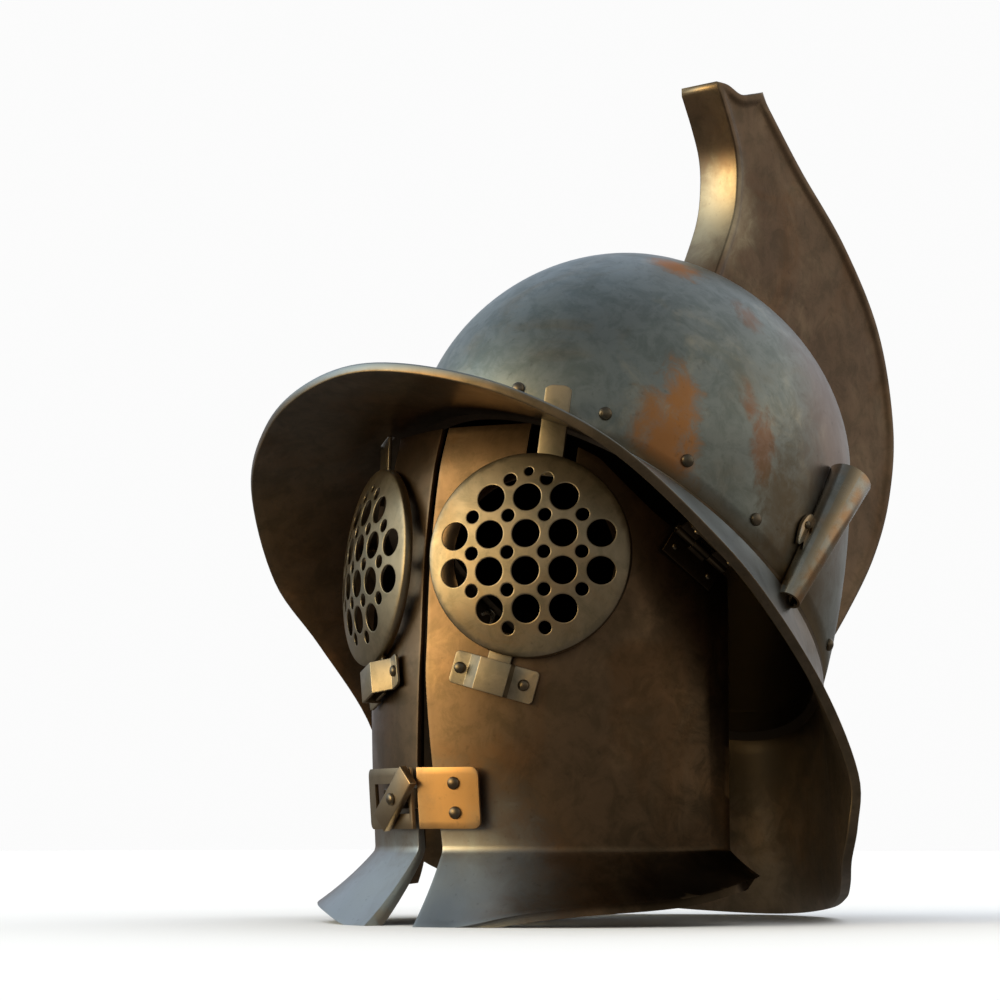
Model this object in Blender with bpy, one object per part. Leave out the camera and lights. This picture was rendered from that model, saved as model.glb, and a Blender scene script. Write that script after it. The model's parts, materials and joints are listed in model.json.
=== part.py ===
"""A gladiator's bronze helmet: bowl, brim, crest, a two-part visor with pierced eye discs, and its
clasp, hinges, keepers and plume tubes. Metres, +Z up. The face looks along -Y and +X is the
wearer's left. The helmet rests on the visor's foot and the neck guard, at Z = 0."""

import math

import bmesh
import bpy
import numpy as np
from mathutils import Matrix, Vector
from mathutils.geometry import delaunay_2d_cdt

GAP = 0.0003  # clearance between pieces that touch
FRAME_SHIFT = -0.0013  # from the Y of the numbers below to the middle of the finished helmet

# Bowl: an egg with different heights above and below its widest section, cut by a sloping plane.
BOWL_CENTRE = Vector((0.0, -0.0060, 0.2435))
BOWL_HALF_WIDTH = 0.1070
BOWL_HALF_LENGTH = 0.1340
BOWL_RISE = 0.1155
BOWL_DROP = 0.2450
BOWL_POWER = 1.92  # 2 is an ellipse, and less is leaner at the shoulders
BOWL_WALL = 0.0018
ROUND_COLUMNS = 48  # facets round the bowl and the brim
BOWL_ROWS = 8
SEAM_HEIGHT = 0.1684  # height of the seam plane over the origin
SEAM_FALL = 0.66  # fall of the seam plane for each metre towards the back

# Brim: edge position for each bearing round the bowl, 0 at the face and 180 at the nape. "out" and
# "down" place the flare's control point, as shares of the way from the seam to the edge.
BRIM_COLUMNS = ("bearing", "x", "y", "z", "out", "down")
BRIM_ROWS = (
    (0, 0.000, -0.2205, 0.2715, 0.50, -0.10),
    (15, 0.046, -0.2140, 0.2655, 0.46, -0.05),
    (30, 0.088, -0.1975, 0.2510, 0.38, 0.15),
    (45, 0.125, -0.1715, 0.2250, 0.28, 0.30),
    (60, 0.151, -0.1290, 0.1820, 0.20, 0.42),
    (73, 0.1555, -0.0905, 0.1500, 0.16, 0.46),
    (86, 0.1565, -0.0515, 0.1110, 0.14, 0.48),
    (98, 0.1590, -0.0305, 0.0730, 0.12, 0.50),
    (109, 0.1555, -0.0270, 0.0490, 0.12, 0.54),
    (119, 0.1460, -0.0190, 0.0320, 0.12, 0.56),
    (130, 0.1290, 0.0040, 0.0200, 0.12, 0.58),
    (143, 0.1010, 0.0400, 0.0115, 0.12, 0.62),
    (160, 0.056, 0.0880, 0.0050, 0.12, 0.64),
    (180, 0.000, 0.1140, 0.0020, 0.12, 0.66),
)
BRIM_WALL = 0.0020
BRIM_EDGE = 0.0050  # thickness of the heavy outer edge
BRIM_LIP = 0.0008  # how far the edge's eased corners stand out
BRIM_EASE = 0.35  # share of half the edge that they take
BRIM_STEPS = 5
COLLAR_RISE = 0.012  # how far the brim's collar goes up inside the bowl
COLLAR_GAP = 0.0007

# Crest: a hollow fin over the back of the bowl, drawn by its side outline.
CREST_HALF_WIDTH = 0.0136
CREST_WALL = 0.0016
CREST_BEAD = 0.0026
CREST_RIM = 0.0022  # wall at the front, top and back
CREST_RECESS = 0.0008
CREST_FRONT = (
    (0.0350, 0.3300),
    (0.0510, 0.3580),
    (0.0670, 0.3900),
    (0.0712, 0.4120),
    (0.0700, 0.4290),
    (0.0641, 0.4440),
    (0.0588, 0.4545),
    (0.0540, 0.4635),
)
CREST_TOP = ((0.0540, 0.4665), (0.0640, 0.4665), (0.0760, 0.4632), (0.0870, 0.4655), (0.0975, 0.4685))
CREST_REAR = (
    (0.1030, 0.4595),
    (0.1332, 0.4290),
    (0.1762, 0.3900),
    (0.2102, 0.3430),
    (0.2242, 0.2880),
    (0.2192, 0.2450),
    (0.2022, 0.2080),
    (0.1732, 0.1720),
    (0.1342, 0.1320),
)
CREST_STEPS = 2  # straight pieces between two outline points
CREST_BASE = ((0.080, -0.060), (0.020, 0.0465))  # two points inside the bowl, from its centre

# Visor: a front profile down the slit, and a plan curve from the slit round to the temple corner.
VISOR_COLUMNS = ("height", "slit", "prow")
VISOR_ROWS = (
    (0.2490, 0.0021, -0.1565),
    (0.2260, 0.0021, -0.1635),
    (0.1820, 0.0021, -0.1700),
    (0.1400, 0.0021, -0.1725),
    (0.1200, 0.0024, -0.1735),
    (0.0780, 0.0052, -0.1715),
    (0.0370, 0.0082, -0.1670),
)
VISOR_CHEEK = ((0.044, -0.1630), (0.088, -0.1360))  # the plan curve's inner control points
VISOR_PROW = -0.1725  # where the control points stand as given; they lean with the prow
VISOR_CORNER = (0.1040, -0.0765)
VISOR_RETURN = (0.1055, -0.0620)  # end of the short side wall behind the corner
VISOR_TOP = ((0.0, 0.2485), (0.35, 0.2485), (0.62, 0.2300), (0.82, 0.2030), (1.0, 0.1830), (1.1, 0.1720))
VISOR_WALL = 0.0024
VISOR_STATIONS = (0.0, 0.07, 0.15, 0.24, 0.33, 0.42, 0.51, 0.60, 0.69, 0.77, 0.84, 0.90, 0.95, 1.0, 1.1)
VISOR_LEVELS = 8
CREASE_HEIGHT = 0.037
CREASE_WALL = 0.0040
FOOT_WALL = 0.0080
FOOT_STEPS = 4
FOOT_COLUMNS = ("station", "out", "drop", "turn")
FOOT_ROWS = (
    (0.0, 0.0315, 0.0370, 0.0),
    (0.15, 0.0310, 0.0370, 2.0),
    (0.35, 0.0310, 0.0310, 4.0),
    (0.55, 0.0300, 0.0270, 6.0),
    (0.80, 0.0255, 0.0235, 12.0),
    (0.90, 0.0240, 0.0200, 18.0),
    (1.0, 0.0225, 0.0145, 26.0),
    (1.1, 0.0150, 0.0130, 40.0),
)

# Eye discs: shallow domes pierced on a square lattice, each on its own axis.
DISC_RADIUS = 0.051
DISC_TOP = Vector((0.0574, -0.1615, 0.182))  # crown of the left disc
DISC_BEARING = 28.0
DISC_TILT = 3.9
DISC_DOME_RADIUS = 0.150
DISC_WALL = 0.0016
DISC_RIM = 0.0040
DISC_SEGMENTS = 36
HOLE_PITCH = 0.0185
HOLE_BIG = 0.0069
HOLE_SMALL = 0.0032
HOLE_TINY = 0.0022
BIG_HOLE_SIDES = 12
SMALL_HOLE_SIDES = 8
EYE_HOLE = 0.0400  # radius of the opening in the visor behind a disc, and depth of its cutter
EYE_FRONT = 0.0200  # how far the cutter stands out in front
EYE_SIDES = 32
TAB_LEAN = 16.0  # the lower tab's lean towards the slit
TAB_WIDTH = 0.0120
TAB_END = 0.0705
TAB_THICK = 0.0018
TAB_RAISE = 0.0004  # the tab lies a little above the rim's lower edge
KEEPER_REACH = 0.0625  # distance of a keeper's middle from the disc's axis
KEEPER_BAND = 0.0165
KEEPER_SHEET = 0.0015
KEEPER_INNER = (-0.0225, -0.0145, -0.0074)  # inner end, foot of the ramp and top of the ramp
KEEPER_OUTER = (0.0086, 0.0215)  # end of the raised part, and outer end
KEEPER_RISE = 0.0085
KEEPER_RIVET = 0.0029

# Brow strips: one through the brim above each disc.
STRIP_WIDTH = 0.0135
STRIP_THICK = 0.0020
STRIP_CORNER = 0.0020
STRIP_LOW = (0.0075, 0.0400)  # across and up from the disc's axis
STRIP_HIGH = (0.0128, 0.0860)
STRIP_DEPTH = 0.0146  # behind the disc's crown
STRIP_ROOM = 0.0009  # clearance round a strip in its slot
STRIP_SLOT = (0.034, 0.016)  # the slot's cutter: middle, up the strip, and half length
STRIP_NOTCH = 0.0060  # and in the visor, which swings past it
NOTCH_SLOT = (0.026, 0.030)  # the notch's cutter: middle, up the strip, and half length
NOTCH_DEPTH = 0.0120  # half of its depth through the visor

# Clasp across the slit.
CLASP_LOW = 0.0472
CLASP_HIGH = 0.0774
CLASP_SHEET = 0.0020
CLASP_LIFT = 0.0056  # stand-off over the visor, room for the base plate
CLASP_BRIDGE = 0.0040  # from the slit's edge to where the clasp leaves the visor's curve
CLASP_LEFT_REACH = 0.0305
CLASP_RIGHT_REACH = 0.0435
CLASP_RIVETS_AT = 0.0190
CLASP_RIVETS_APART = 0.0144
CLASP_RIVET = 0.0032
CLASP_SLOT = (0.0016, 0.0375)
CLASP_SLOT_HEIGHT = 0.0150
CLASP_BASE = (0.0038, 0.0310)
CLASP_BASE_HEIGHT = 0.0100
BASE_RIVET = 0.0018
BASE_RIVET_AT = 0.0061
BUTTON_AT = 0.0114
BUTTON_CORNERS = ((0.0100, 0.0163), (0.0193, 0.0073))  # two of its four; the others lie opposite
BUTTON_SHEET = 0.0040
BUTTON_HEAD = ((0.0, 0.0062), (0.0020, 0.0059), (0.0031, 0.0046), (0.0031, 0.0030), (0.0, 0.0030))
BUTTON_POST = 0.0028
BUTTON_SIDES = 12

# Temple hinges.
HINGE_STATIONS = (0.87, 1.06)
HINGE_BELOW = 0.0010  # from the cheek's top edge down to the pin
HINGE_STANDOFF = 0.0035
HINGE_BARREL = 0.0024
HINGE_BORE = 0.0013
HINGE_PIN = 0.0010
HINGE_LENGTH = 0.0340
LEAF_WIDTH = 0.0110
BRIM_LEAF_WIDTH = 0.0090
BRIM_LEAF_OUT = 0.0090  # how far outside the pin its plate lies
BRIM_RIVET_OUT = 0.0024
CHEEK_LEAF_GAP = 0.0006
LEAF_SHEET = 0.0013
BRIM_LEAF_GAP = 0.0023  # the flat leaf under the curved brim
NEAREST_SHARES = (0.0, 0.25, 0.5, 0.75)  # places tried across each face of the brim
BARREL_SIDES = 12
PIN_SIDES = 8
PIN_PAST = 0.0010  # how far a pin stands out at each end
LEAF_RIVET_PLACE = 0.72  # along half of a leaf
WEB_MIDDLE = 0.55  # a web's middle and half length, as shares of the way from the pin to the plate
WEB_HALF = 0.45

# Plume tubes.
TUBE_LOW = Vector((0.1064, -0.0120, 0.1645))
TUBE_MOUTH = Vector((0.1090, 0.0406, 0.2318))
TUBE_LOW_RADIUS = 0.0065
TUBE_MOUTH_RADIUS = 0.0120
TUBE_WALL = 0.0013
TUBE_SEGMENTS = 20
TUBE_PAST = 0.0010  # how far the core's cutter stands out at each end
LUG_PLACE = 0.45  # along the tube
LUG_AHEAD = 0.0016
LUG_HALF_WIDTH = 0.0046
LUG_HALF_LENGTH = 0.0100
LUG_SHEET = 0.0018
LUG_TAPER = 0.55  # narrowing towards the low point
LUG_SEGMENTS = 14
LUG_PIN = 0.0021
LUG_PIN_UP = 0.0026  # from the lug's middle, along the tube
LUG_PIN_AHEAD = 0.0007
LUG_PIN_OVER = 0.0010

RIVET_RADIUS = 0.0034
RIVET_HEIGHT = 0.0022
RIVET_DOME = ((0.0, 1.0), (0.70, 0.74), (1.0, 0.0))  # shares of the radius and the height
RIVET_SEGMENTS = 8
SMALL_RIVET = 0.0016
SEAM_RIVETS = (15.0, 38.5, 58.5, 77.5, 120.0)  # bearings, on each side
SEAM_RIVET_RISE = 0.0135
SEAM_RIVET_LIFT = 0.0005  # off the bowl's facets


def clear_scene():
    for obj in list(bpy.data.objects):
        bpy.data.objects.remove(obj, do_unlink=True)


def bronze(name, colour, roughness):
    material = bpy.data.materials.new(name)
    material.use_nodes = True
    shader = material.node_tree.nodes["Principled BSDF"]
    shader.inputs["Base Color"].default_value = (*colour, 1.0)
    shader.inputs["Metallic"].default_value = 1.0
    shader.inputs["Roughness"].default_value = roughness
    return material


def add_object(name, points, faces, material, sharp=35.0):
    """A mesh object whose faces all look outward."""
    mesh = bpy.data.meshes.new(name)
    mesh.from_pydata([tuple(p) for p in points], [], faces)
    work = bmesh.new()
    work.from_mesh(mesh)
    bmesh.ops.recalc_face_normals(work, faces=work.faces)
    work.to_mesh(mesh)
    work.free()
    mesh.shade_smooth()
    mesh.set_sharp_from_angle(angle=math.radians(sharp))
    if material:
        mesh.materials.append(material)
    obj = bpy.data.objects.new(name, mesh)
    bpy.context.scene.collection.objects.link(obj)
    return obj


def ring_mesh(rings, loop=False):
    """Points and faces of a skin over closed rings. A ring of one point is a pole."""
    points = []
    spans = []
    for ring in rings:
        spans.append((len(points), len(ring)))
        points.extend(ring)
    faces = []
    pairs = list(zip(spans, spans[1:] + spans[:1])) if loop else list(zip(spans, spans[1:]))
    for (first, count), (second, other) in pairs:
        for i in range(max(count, other)):
            j = (i + 1) % max(count, other)
            if count == 1:
                faces.append((first, second + j, second + i))
            elif other == 1:
                faces.append((first + i, first + j, second))
            else:
                faces.append((first + i, first + j, second + j, second + i))
    return points, faces


def sheet_mesh(outer, inner):
    """Points and faces of a closed sheet between two grids of the same size."""
    rows, columns = len(outer), len(outer[0])
    points = [p for row in outer for p in row] + [p for row in inner for p in row]
    back = rows * columns
    faces = []
    for r in range(rows - 1):
        for c in range(columns - 1):
            quad = [r * columns + c, r * columns + c + 1, (r + 1) * columns + c + 1, (r + 1) * columns + c]
            faces.append(tuple(quad))
            faces.append(tuple(back + i for i in reversed(quad)))
    border = [(0, c) for c in range(columns)]
    border += [(r, columns - 1) for r in range(1, rows)]
    border += [(rows - 1, c) for c in range(columns - 2, -1, -1)]
    border += [(r, 0) for r in range(rows - 2, 0, -1)]
    ids = [r * columns + c for r, c in border]
    for a, b in zip(ids, ids[1:] + ids[:1]):
        faces.append((b, a, back + a, back + b))
    return points, faces


def prism_mesh(outline, low, high):
    """Points and faces of an outline of (a, b) pairs drawn out along the third axis."""
    count = len(outline)
    points = [(a, b, low) for a, b in outline] + [(a, b, high) for a, b in outline]
    faces = [tuple(range(count)), tuple(range(2 * count - 1, count - 1, -1))]
    faces += [(i, (i + 1) % count, count + (i + 1) % count, count + i) for i in range(count)]
    return points, faces


def box_mesh(half):
    outline = [(-half[0], -half[1]), (half[0], -half[1]), (half[0], half[1]), (-half[0], half[1])]
    return prism_mesh(outline, -half[2], half[2])


def tube_rings(radii_heights, segments):
    """Rings round the local Z axis for (radius, height) pairs. A radius of 0 is a pole."""
    rings = []
    for radius, height in radii_heights:
        if radius == 0.0:
            rings.append([(0.0, 0.0, height)])
            continue
        angles = [2 * math.pi * i / segments for i in range(segments)]
        rings.append([(radius * math.cos(a), radius * math.sin(a), height) for a in angles])
    return rings


def frame_at(origin, normal, along):
    """A matrix with its Z axis on normal, and its X axis as near along as it can be."""
    z = normal.normalized()
    x = (along - along.dot(z) * z).normalized()
    y = z.cross(x)
    matrix = Matrix((x, y, z)).transposed().to_4x4()
    matrix.translation = origin
    return matrix


def place(obj, matrix):
    obj.matrix_world = matrix
    return obj


def mirror_x(vector):
    return Vector((-vector.x, vector.y, vector.z))


def sided(side, vector):
    """A point of the left side, taken to the right side where side is -1."""
    return vector if side > 0 else mirror_x(vector)


def to_side(side, matrix):
    """A frame of the left side, mirrored to the right side where side is -1."""
    if side > 0:
        return matrix
    flip = Matrix.Diagonal((-1.0, 1.0, 1.0, 1.0))
    return flip @ matrix @ flip


def cutter(name, mesh, matrix):
    obj = place(add_object(name, *mesh, None), matrix)
    obj.hide_render = True
    obj.display_type = "WIRE"
    return obj


def boolean(obj, other, operation="DIFFERENCE"):
    modifier = obj.modifiers.new(other.name, "BOOLEAN")
    modifier.operation = operation
    modifier.solver = "EXACT"
    modifier.object = other


def table(columns, rows, key, column, value):
    """Reads a table by straight-line interpolation."""
    keys = [row[columns.index(key)] for row in rows]
    values = [row[columns.index(column)] for row in rows]
    if keys[0] > keys[-1]:
        keys, values = keys[::-1], values[::-1]
    return float(np.interp(value, keys, values))


def smooth_table(rows, column, bearing):
    """Reads the brim's table with a smooth curve that is mirrored at the face and the nape."""
    keys = [row[0] for row in rows]
    values = [row[BRIM_COLUMNS.index(column)] for row in rows]
    sign = -1.0 if column == "x" else 1.0
    keys = [-k for k in keys[3:0:-1]] + keys + [360.0 - k for k in keys[-2:-5:-1]]
    values = [sign * v for v in values[3:0:-1]] + values + [sign * v for v in values[-2:-5:-1]]
    slot = max(i for i in range(1, len(keys) - 2) if keys[i] <= bearing)
    k0, k1, k2, k3 = keys[slot - 1 : slot + 3]
    v0, v1, v2, v3 = values[slot - 1 : slot + 3]
    t = (bearing - k1) / (k2 - k1)
    slope1 = (v2 - v0) / (k2 - k0) * (k2 - k1)
    slope2 = (v3 - v1) / (k3 - k1) * (k2 - k1)
    cube, square = t**3, t**2
    return (
        (2 * cube - 3 * square + 1) * v1
        + (cube - 2 * square + t) * slope1
        + (3 * square - 2 * cube) * v2
        + (cube - square) * slope2
    )


def bowl_axes(below, inset=0.0):
    """Half width, half length and height of the upper or lower part of the bowl."""
    height = BOWL_DROP if below else BOWL_RISE
    return BOWL_HALF_WIDTH - inset, BOWL_HALF_LENGTH - inset, height - inset


def bowl_point(bearing, polar, inset=0.0):
    """A point of the bowl: bearing round it from the face, polar angle down from the crown."""
    side = math.sin(polar) ** (2 / BOWL_POWER)
    level = math.copysign(abs(math.cos(polar)) ** (2 / BOWL_POWER), math.cos(polar))
    width, length, height = bowl_axes(level < 0, inset)
    return BOWL_CENTRE + Vector(
        (width * side * math.sin(bearing), -length * side * math.cos(bearing), height * level)
    )


def over_seam(point, shift=0.0):
    return point.z - (SEAM_HEIGHT - SEAM_FALL * point.y) - shift


def seam_polar(bearing, inset=0.0, shift=0.0):
    """The polar angle at which the bowl meets the seam plane, or a plane shifted up from it."""
    low, high = 0.3, math.pi * 0.9
    for _ in range(40):
        middle = (low + high) / 2
        if over_seam(bowl_point(bearing, middle, inset), shift) > 0:
            low = middle
        else:
            high = middle
    return low


def bowl_normal(point):
    offset = point - BOWL_CENTRE
    width, length, height = bowl_axes(offset.z < 0)
    level = math.hypot(offset.x / width, offset.y / length)
    across = level ** (BOWL_POWER - 2)
    up = (abs(offset.z) / height) ** (BOWL_POWER - 1) / height
    return Vector(
        (across * offset.x / width**2, across * offset.y / length**2, math.copysign(up, offset.z))
    ).normalized()


def bowl_surface(point):
    """The bowl's outer surface on the line from its middle through a point."""
    offset = point - BOWL_CENTRE
    width, length, height = bowl_axes(offset.z < 0)
    level = math.hypot(offset.x / width, offset.y / length)
    reach = (level**BOWL_POWER + (abs(offset.z) / height) ** BOWL_POWER) ** (1 / BOWL_POWER)
    return BOWL_CENTRE + offset / reach


def bowl_rings(inset):
    """Rings of the bowl from its crown to the seam. The last band is as high as the brim's collar."""
    rings = [[bowl_point(0.0, 0.0, inset)]]
    bearings = [2 * math.pi * i / ROUND_COLUMNS for i in range(ROUND_COLUMNS)]
    for row in range(1, BOWL_ROWS):
        share = row / (BOWL_ROWS - 1)
        rings.append([bowl_point(b, share * seam_polar(b, inset, COLLAR_RISE), inset) for b in bearings])
    rings.append([bowl_point(b, seam_polar(b, inset), inset) for b in bearings])
    return rings


def make_bowl(material):
    return add_object("bowl", *ring_mesh(bowl_rings(0.0) + bowl_rings(BOWL_WALL)[::-1]), material)


def brim_edge(bearing):
    """Edge point of the brim for a bearing from 0 to 360 degrees."""
    folded = bearing if bearing <= 180 else 360 - bearing
    point = Vector([smooth_table(BRIM_ROWS, column, folded) for column in ("x", "y", "z")])
    return point if bearing <= 180 else mirror_x(point)


def brim_line(bearing, inset):
    """The middle line of the brim's flare, from the seam to the edge."""
    folded = bearing if bearing <= 180 else 360 - bearing
    angle = math.radians(bearing)
    start = bowl_point(angle, seam_polar(angle, inset, -GAP - BRIM_WALL / 2), inset)
    end = brim_edge(bearing)
    out = smooth_table(BRIM_ROWS, "out", folded)
    down = smooth_table(BRIM_ROWS, "down", folded)
    way = end - start
    control = start + Vector((way.x * out, way.y * out, way.z * down))
    line = []
    for step in range(BRIM_STEPS + 1):
        t = step / BRIM_STEPS
        line.append((1 - t) ** 2 * start + 2 * t * (1 - t) * control + t**2 * end)
    return line


def brim_grid():
    """Middle lines round the whole brim, with the upward normal at each point."""
    bearings = [360.0 * i / ROUND_COLUMNS for i in range(ROUND_COLUMNS)]
    lines = [brim_line(b, BOWL_WALL / 2) for b in bearings]
    normals = []
    for i, line in enumerate(lines):
        before, after = lines[i - 1], lines[(i + 1) % ROUND_COLUMNS]
        row = []
        for k in range(len(line)):
            along = line[min(k + 1, len(line) - 1)] - line[max(k - 1, 0)]
            around = after[k] - before[k]
            row.append(around.cross(along).normalized())
        normals.append(row)
    if normals[0][-1].z < 0:
        normals = [[-n for n in row] for row in normals]
    return bearings, lines, normals


def make_brim(material):
    bearings, lines, normals = brim_grid()
    collar_out = BOWL_WALL + COLLAR_GAP
    collar_in = collar_out + BRIM_WALL
    profiles = []
    for bearing, line, normal in zip(bearings, lines, normals):
        angle = math.radians(bearing)
        top = []
        under = []
        for k, (point, up) in enumerate(zip(line, normal)):
            half = BRIM_WALL / 2 + (BRIM_EDGE - BRIM_WALL) / 2 * (k / BRIM_STEPS) ** 4
            top.append(point + up * half)
            under.append(point - up * half)
        under[0] = bowl_point(angle, seam_polar(angle, collar_in, -GAP - BRIM_WALL), collar_in)
        top[0] = bowl_point(angle, seam_polar(angle, 0.0, -GAP), 0.0)
        rim = normal[-1] * (BRIM_EDGE / 2)
        lip = (line[-1] - line[-2]).normalized() * BRIM_LIP
        top[-1] = line[-1] + rim
        under[-1] = line[-1] - rim
        edge = [top[-1] + lip - rim * BRIM_EASE, under[-1] + lip + rim * BRIM_EASE]
        collar = [
            bowl_point(angle, seam_polar(angle, collar_in, COLLAR_RISE), collar_in),
            bowl_point(angle, seam_polar(angle, collar_out, COLLAR_RISE), collar_out),
            bowl_point(angle, seam_polar(angle, collar_out, -GAP), collar_out),
        ]
        profiles.append(collar + top + edge + under[::-1])
    rings = [list(ring) for ring in zip(*profiles)]
    return add_object("brim", *ring_mesh(rings, loop=True), material)


def smooth_outline(points, steps):
    """A curve through the points, as short straight pieces."""
    points = [Vector(p) for p in points]
    line = []
    for i in range(len(points) - 1):
        p0, p1 = points[max(i - 1, 0)], points[i]
        p2, p3 = points[i + 1], points[min(i + 2, len(points) - 1)]
        for step in range(steps):
            t = step / steps
            line.append(
                0.5
                * (
                    2 * p1
                    + (p2 - p0) * t
                    + (2 * p0 - 5 * p1 + 4 * p2 - p3) * t**2
                    + (3 * p1 - 3 * p2 + p3 - p0) * t**3
                )
            )
    return line + [points[-1]]


def inset_outline(outline, distance):
    """The outline moved inward by a distance, for an outline that runs clockwise."""
    moved = []
    for i, point in enumerate(outline):
        before = (point - outline[i - 1]).normalized()
        after = (outline[(i + 1) % len(outline)] - point).normalized()
        across = Vector((before.y + after.y, -before.x - after.x)).normalized()
        cosine = max(0.4, across.dot(Vector((before.y, -before.x))))
        moved.append(point + across * (distance / cosine))
    return moved


def seat_cutter(name, brim_rings=0):
    """The room that the bowl and the first rings of the brim take, with clearance."""
    rings = bowl_rings(-GAP)
    _, lines, normals = brim_grid()
    for k in range(1, brim_rings + 1):
        lift = BRIM_WALL / 2 + GAP
        rings.append([line[k] + normal[k] * lift for line, normal in zip(lines, normals)])
    rings.append([BOWL_CENTRE - Vector((0.0, 0.0, BOWL_DROP))])
    return cutter(name, ring_mesh(rings), Matrix.Identity(4))


def make_crest(material):
    """The fin: two sides with a bead round them, walls at front, top and back, open to the bowl."""
    front = smooth_outline(CREST_FRONT, CREST_STEPS)
    top = smooth_outline(CREST_TOP, CREST_STEPS)
    rear = smooth_outline(CREST_REAR, CREST_STEPS)
    inside = [Vector((BOWL_CENTRE.y + y, BOWL_CENTRE.z + z)) for y, z in CREST_BASE]
    outline = front + top + rear + inside
    # Local axes: X is the helmet's Y, Y is its Z and the draw is along its X.
    turned = Matrix(((0, 0, 1, 0), (1, 0, 0, 0), (0, 1, 0, 0), (0, 0, 0, 1)))
    bead_in = inset_outline(outline, CREST_BEAD)
    hollow = inset_outline(outline, CREST_RIM)
    half, face = CREST_HALF_WIDTH, CREST_HALF_WIDTH - CREST_RECESS
    rings = [
        [(p.x, p.y, -face) for p in bead_in],
        [(p.x, p.y, -half) for p in bead_in],
        [(p.x, p.y, -half) for p in outline],
        [(p.x, p.y, half) for p in outline],
        [(p.x, p.y, half) for p in bead_in],
        [(p.x, p.y, face) for p in bead_in],
    ]
    points, faces = ring_mesh(rings)
    count = len(outline)
    faces.append(tuple(range(count)))
    faces.append(tuple(range(5 * count, 6 * count)))
    crest = place(add_object("crest", points, faces, material), turned)
    room = face - CREST_WALL
    core = cutter("crest_core", prism_mesh([tuple(p) for p in hollow], -room, room), turned)
    boolean(crest, core)
    boolean(crest, seat_cutter("crest_seat"))
    return crest


def visor_value(column, height):
    return table(VISOR_COLUMNS, VISOR_ROWS, "height", column, height)


def visor_point(station, height):
    """A point on the left half's outer face: station 0 at the slit, 1 at the temple corner."""
    p0 = Vector((visor_value("slit", height), visor_value("prow", height)))
    lean = Vector((0.0, p0.y - VISOR_PROW))
    p1, p2 = Vector(VISOR_CHEEK[0]) + lean, Vector(VISOR_CHEEK[1]) + lean / 2
    p3 = Vector(VISOR_CORNER)
    t = min(station, 1.0)
    plan = (1 - t) ** 3 * p0 + 3 * t * (1 - t) ** 2 * p1 + 3 * t**2 * (1 - t) * p2 + t**3 * p3
    if station > 1.0:
        plan = p3.lerp(Vector(VISOR_RETURN), (station - 1.0) / 0.1)
    return Vector((plan.x, plan.y, height))


def visor_normal(station, height):
    """The outward normal of the left half's outer face."""
    step = 0.01
    low, high = max(station - step, 0.0), min(station + step, 1.1)
    along = visor_point(high, height) - visor_point(low, height)
    up = visor_point(station, height + step) - visor_point(station, height - step)
    return along.cross(up).normalized()


def visor_station(x, height):
    """The station at which the outer face has a given X."""
    low, high = 0.0, 1.0
    for _ in range(40):
        middle = (low + high) / 2
        if visor_point(middle, height).x < x:
            low = middle
        else:
            high = middle
    return low


def visor_top(station):
    return float(np.interp(station, [row[0] for row in VISOR_TOP], [row[1] for row in VISOR_TOP]))


def foot_value(column, station):
    return table(FOOT_COLUMNS, FOOT_ROWS, "station", column, station)


def foot_point(station, share):
    """A point of the flared foot, share 0 at the crease and 1 at its lower edge."""
    start = visor_point(station, CREASE_HEIGHT)
    normal = visor_normal(station, CREASE_HEIGHT + 0.01)
    bearing = math.atan2(normal.y, normal.x) + math.radians(foot_value("turn", station))
    out = Vector((math.cos(bearing), math.sin(bearing), 0.0))
    way = foot_value("out", station) * (0.85 * share + 0.15 * share**2)
    drop = foot_value("drop", station) * (1.10 * share - 0.10 * share**2)
    return start + out * way - Vector((0.0, 0.0, drop))


def visor_grids():
    outer = []
    for level in range(VISOR_LEVELS + 1):
        share = level / VISOR_LEVELS
        row = []
        for station in VISOR_STATIONS:
            top = visor_top(station)
            row.append(visor_point(station, top + (CREASE_HEIGHT - top) * share))
        outer.append(row)
    for step in range(1, FOOT_STEPS + 1):
        outer.append([foot_point(station, step / FOOT_STEPS) for station in VISOR_STATIONS])
    inner = []
    last = len(outer) - 1
    for r, row in enumerate(outer):
        below = (r - VISOR_LEVELS) / FOOT_STEPS
        wall = CREASE_WALL + (FOOT_WALL - CREASE_WALL) * below if below >= 0 else VISOR_WALL
        thin = []
        for c, point in enumerate(row):
            along = row[min(c + 1, len(row) - 1)] - row[max(c - 1, 0)]
            up = outer[max(r - 1, 0)][c] - outer[min(r + 1, last)][c]
            normal = along.cross(up).normalized()
            inside = point - normal * wall
            if r == last:
                flat = Vector((normal.x, normal.y, 0.0)).normalized()
                inside = point - flat * wall
            thin.append(inside)
        inner.append(thin)
    return outer, inner


def disc_axis(side):
    bearing, tilt = math.radians(DISC_BEARING), math.radians(DISC_TILT)
    normal = Vector(
        (math.sin(bearing) * math.cos(tilt), -math.cos(bearing) * math.cos(tilt), math.sin(tilt))
    )
    across = Vector((math.cos(bearing), math.sin(bearing), 0.0))
    return sided(side, DISC_TOP), sided(side, normal), sided(side, across)


def disc_matrix(side):
    """Local Z on the disc's axis, local Y up the disc, with the crown at the origin."""
    origin, normal, across = disc_axis(side)
    up = normal.cross(across) if side > 0 else across.cross(normal)
    matrix = Matrix((up.cross(normal), up, normal)).transposed().to_4x4()
    matrix.translation = origin
    return matrix


def disc_point(side, across, up, depth):
    """A world point from coordinates on a disc; across grows towards the temple on both sides."""
    return disc_matrix(side) @ Vector((side * across, up, depth))


def dome_drop(radius):
    return radius**2 / (2 * DISC_DOME_RADIUS)


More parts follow.
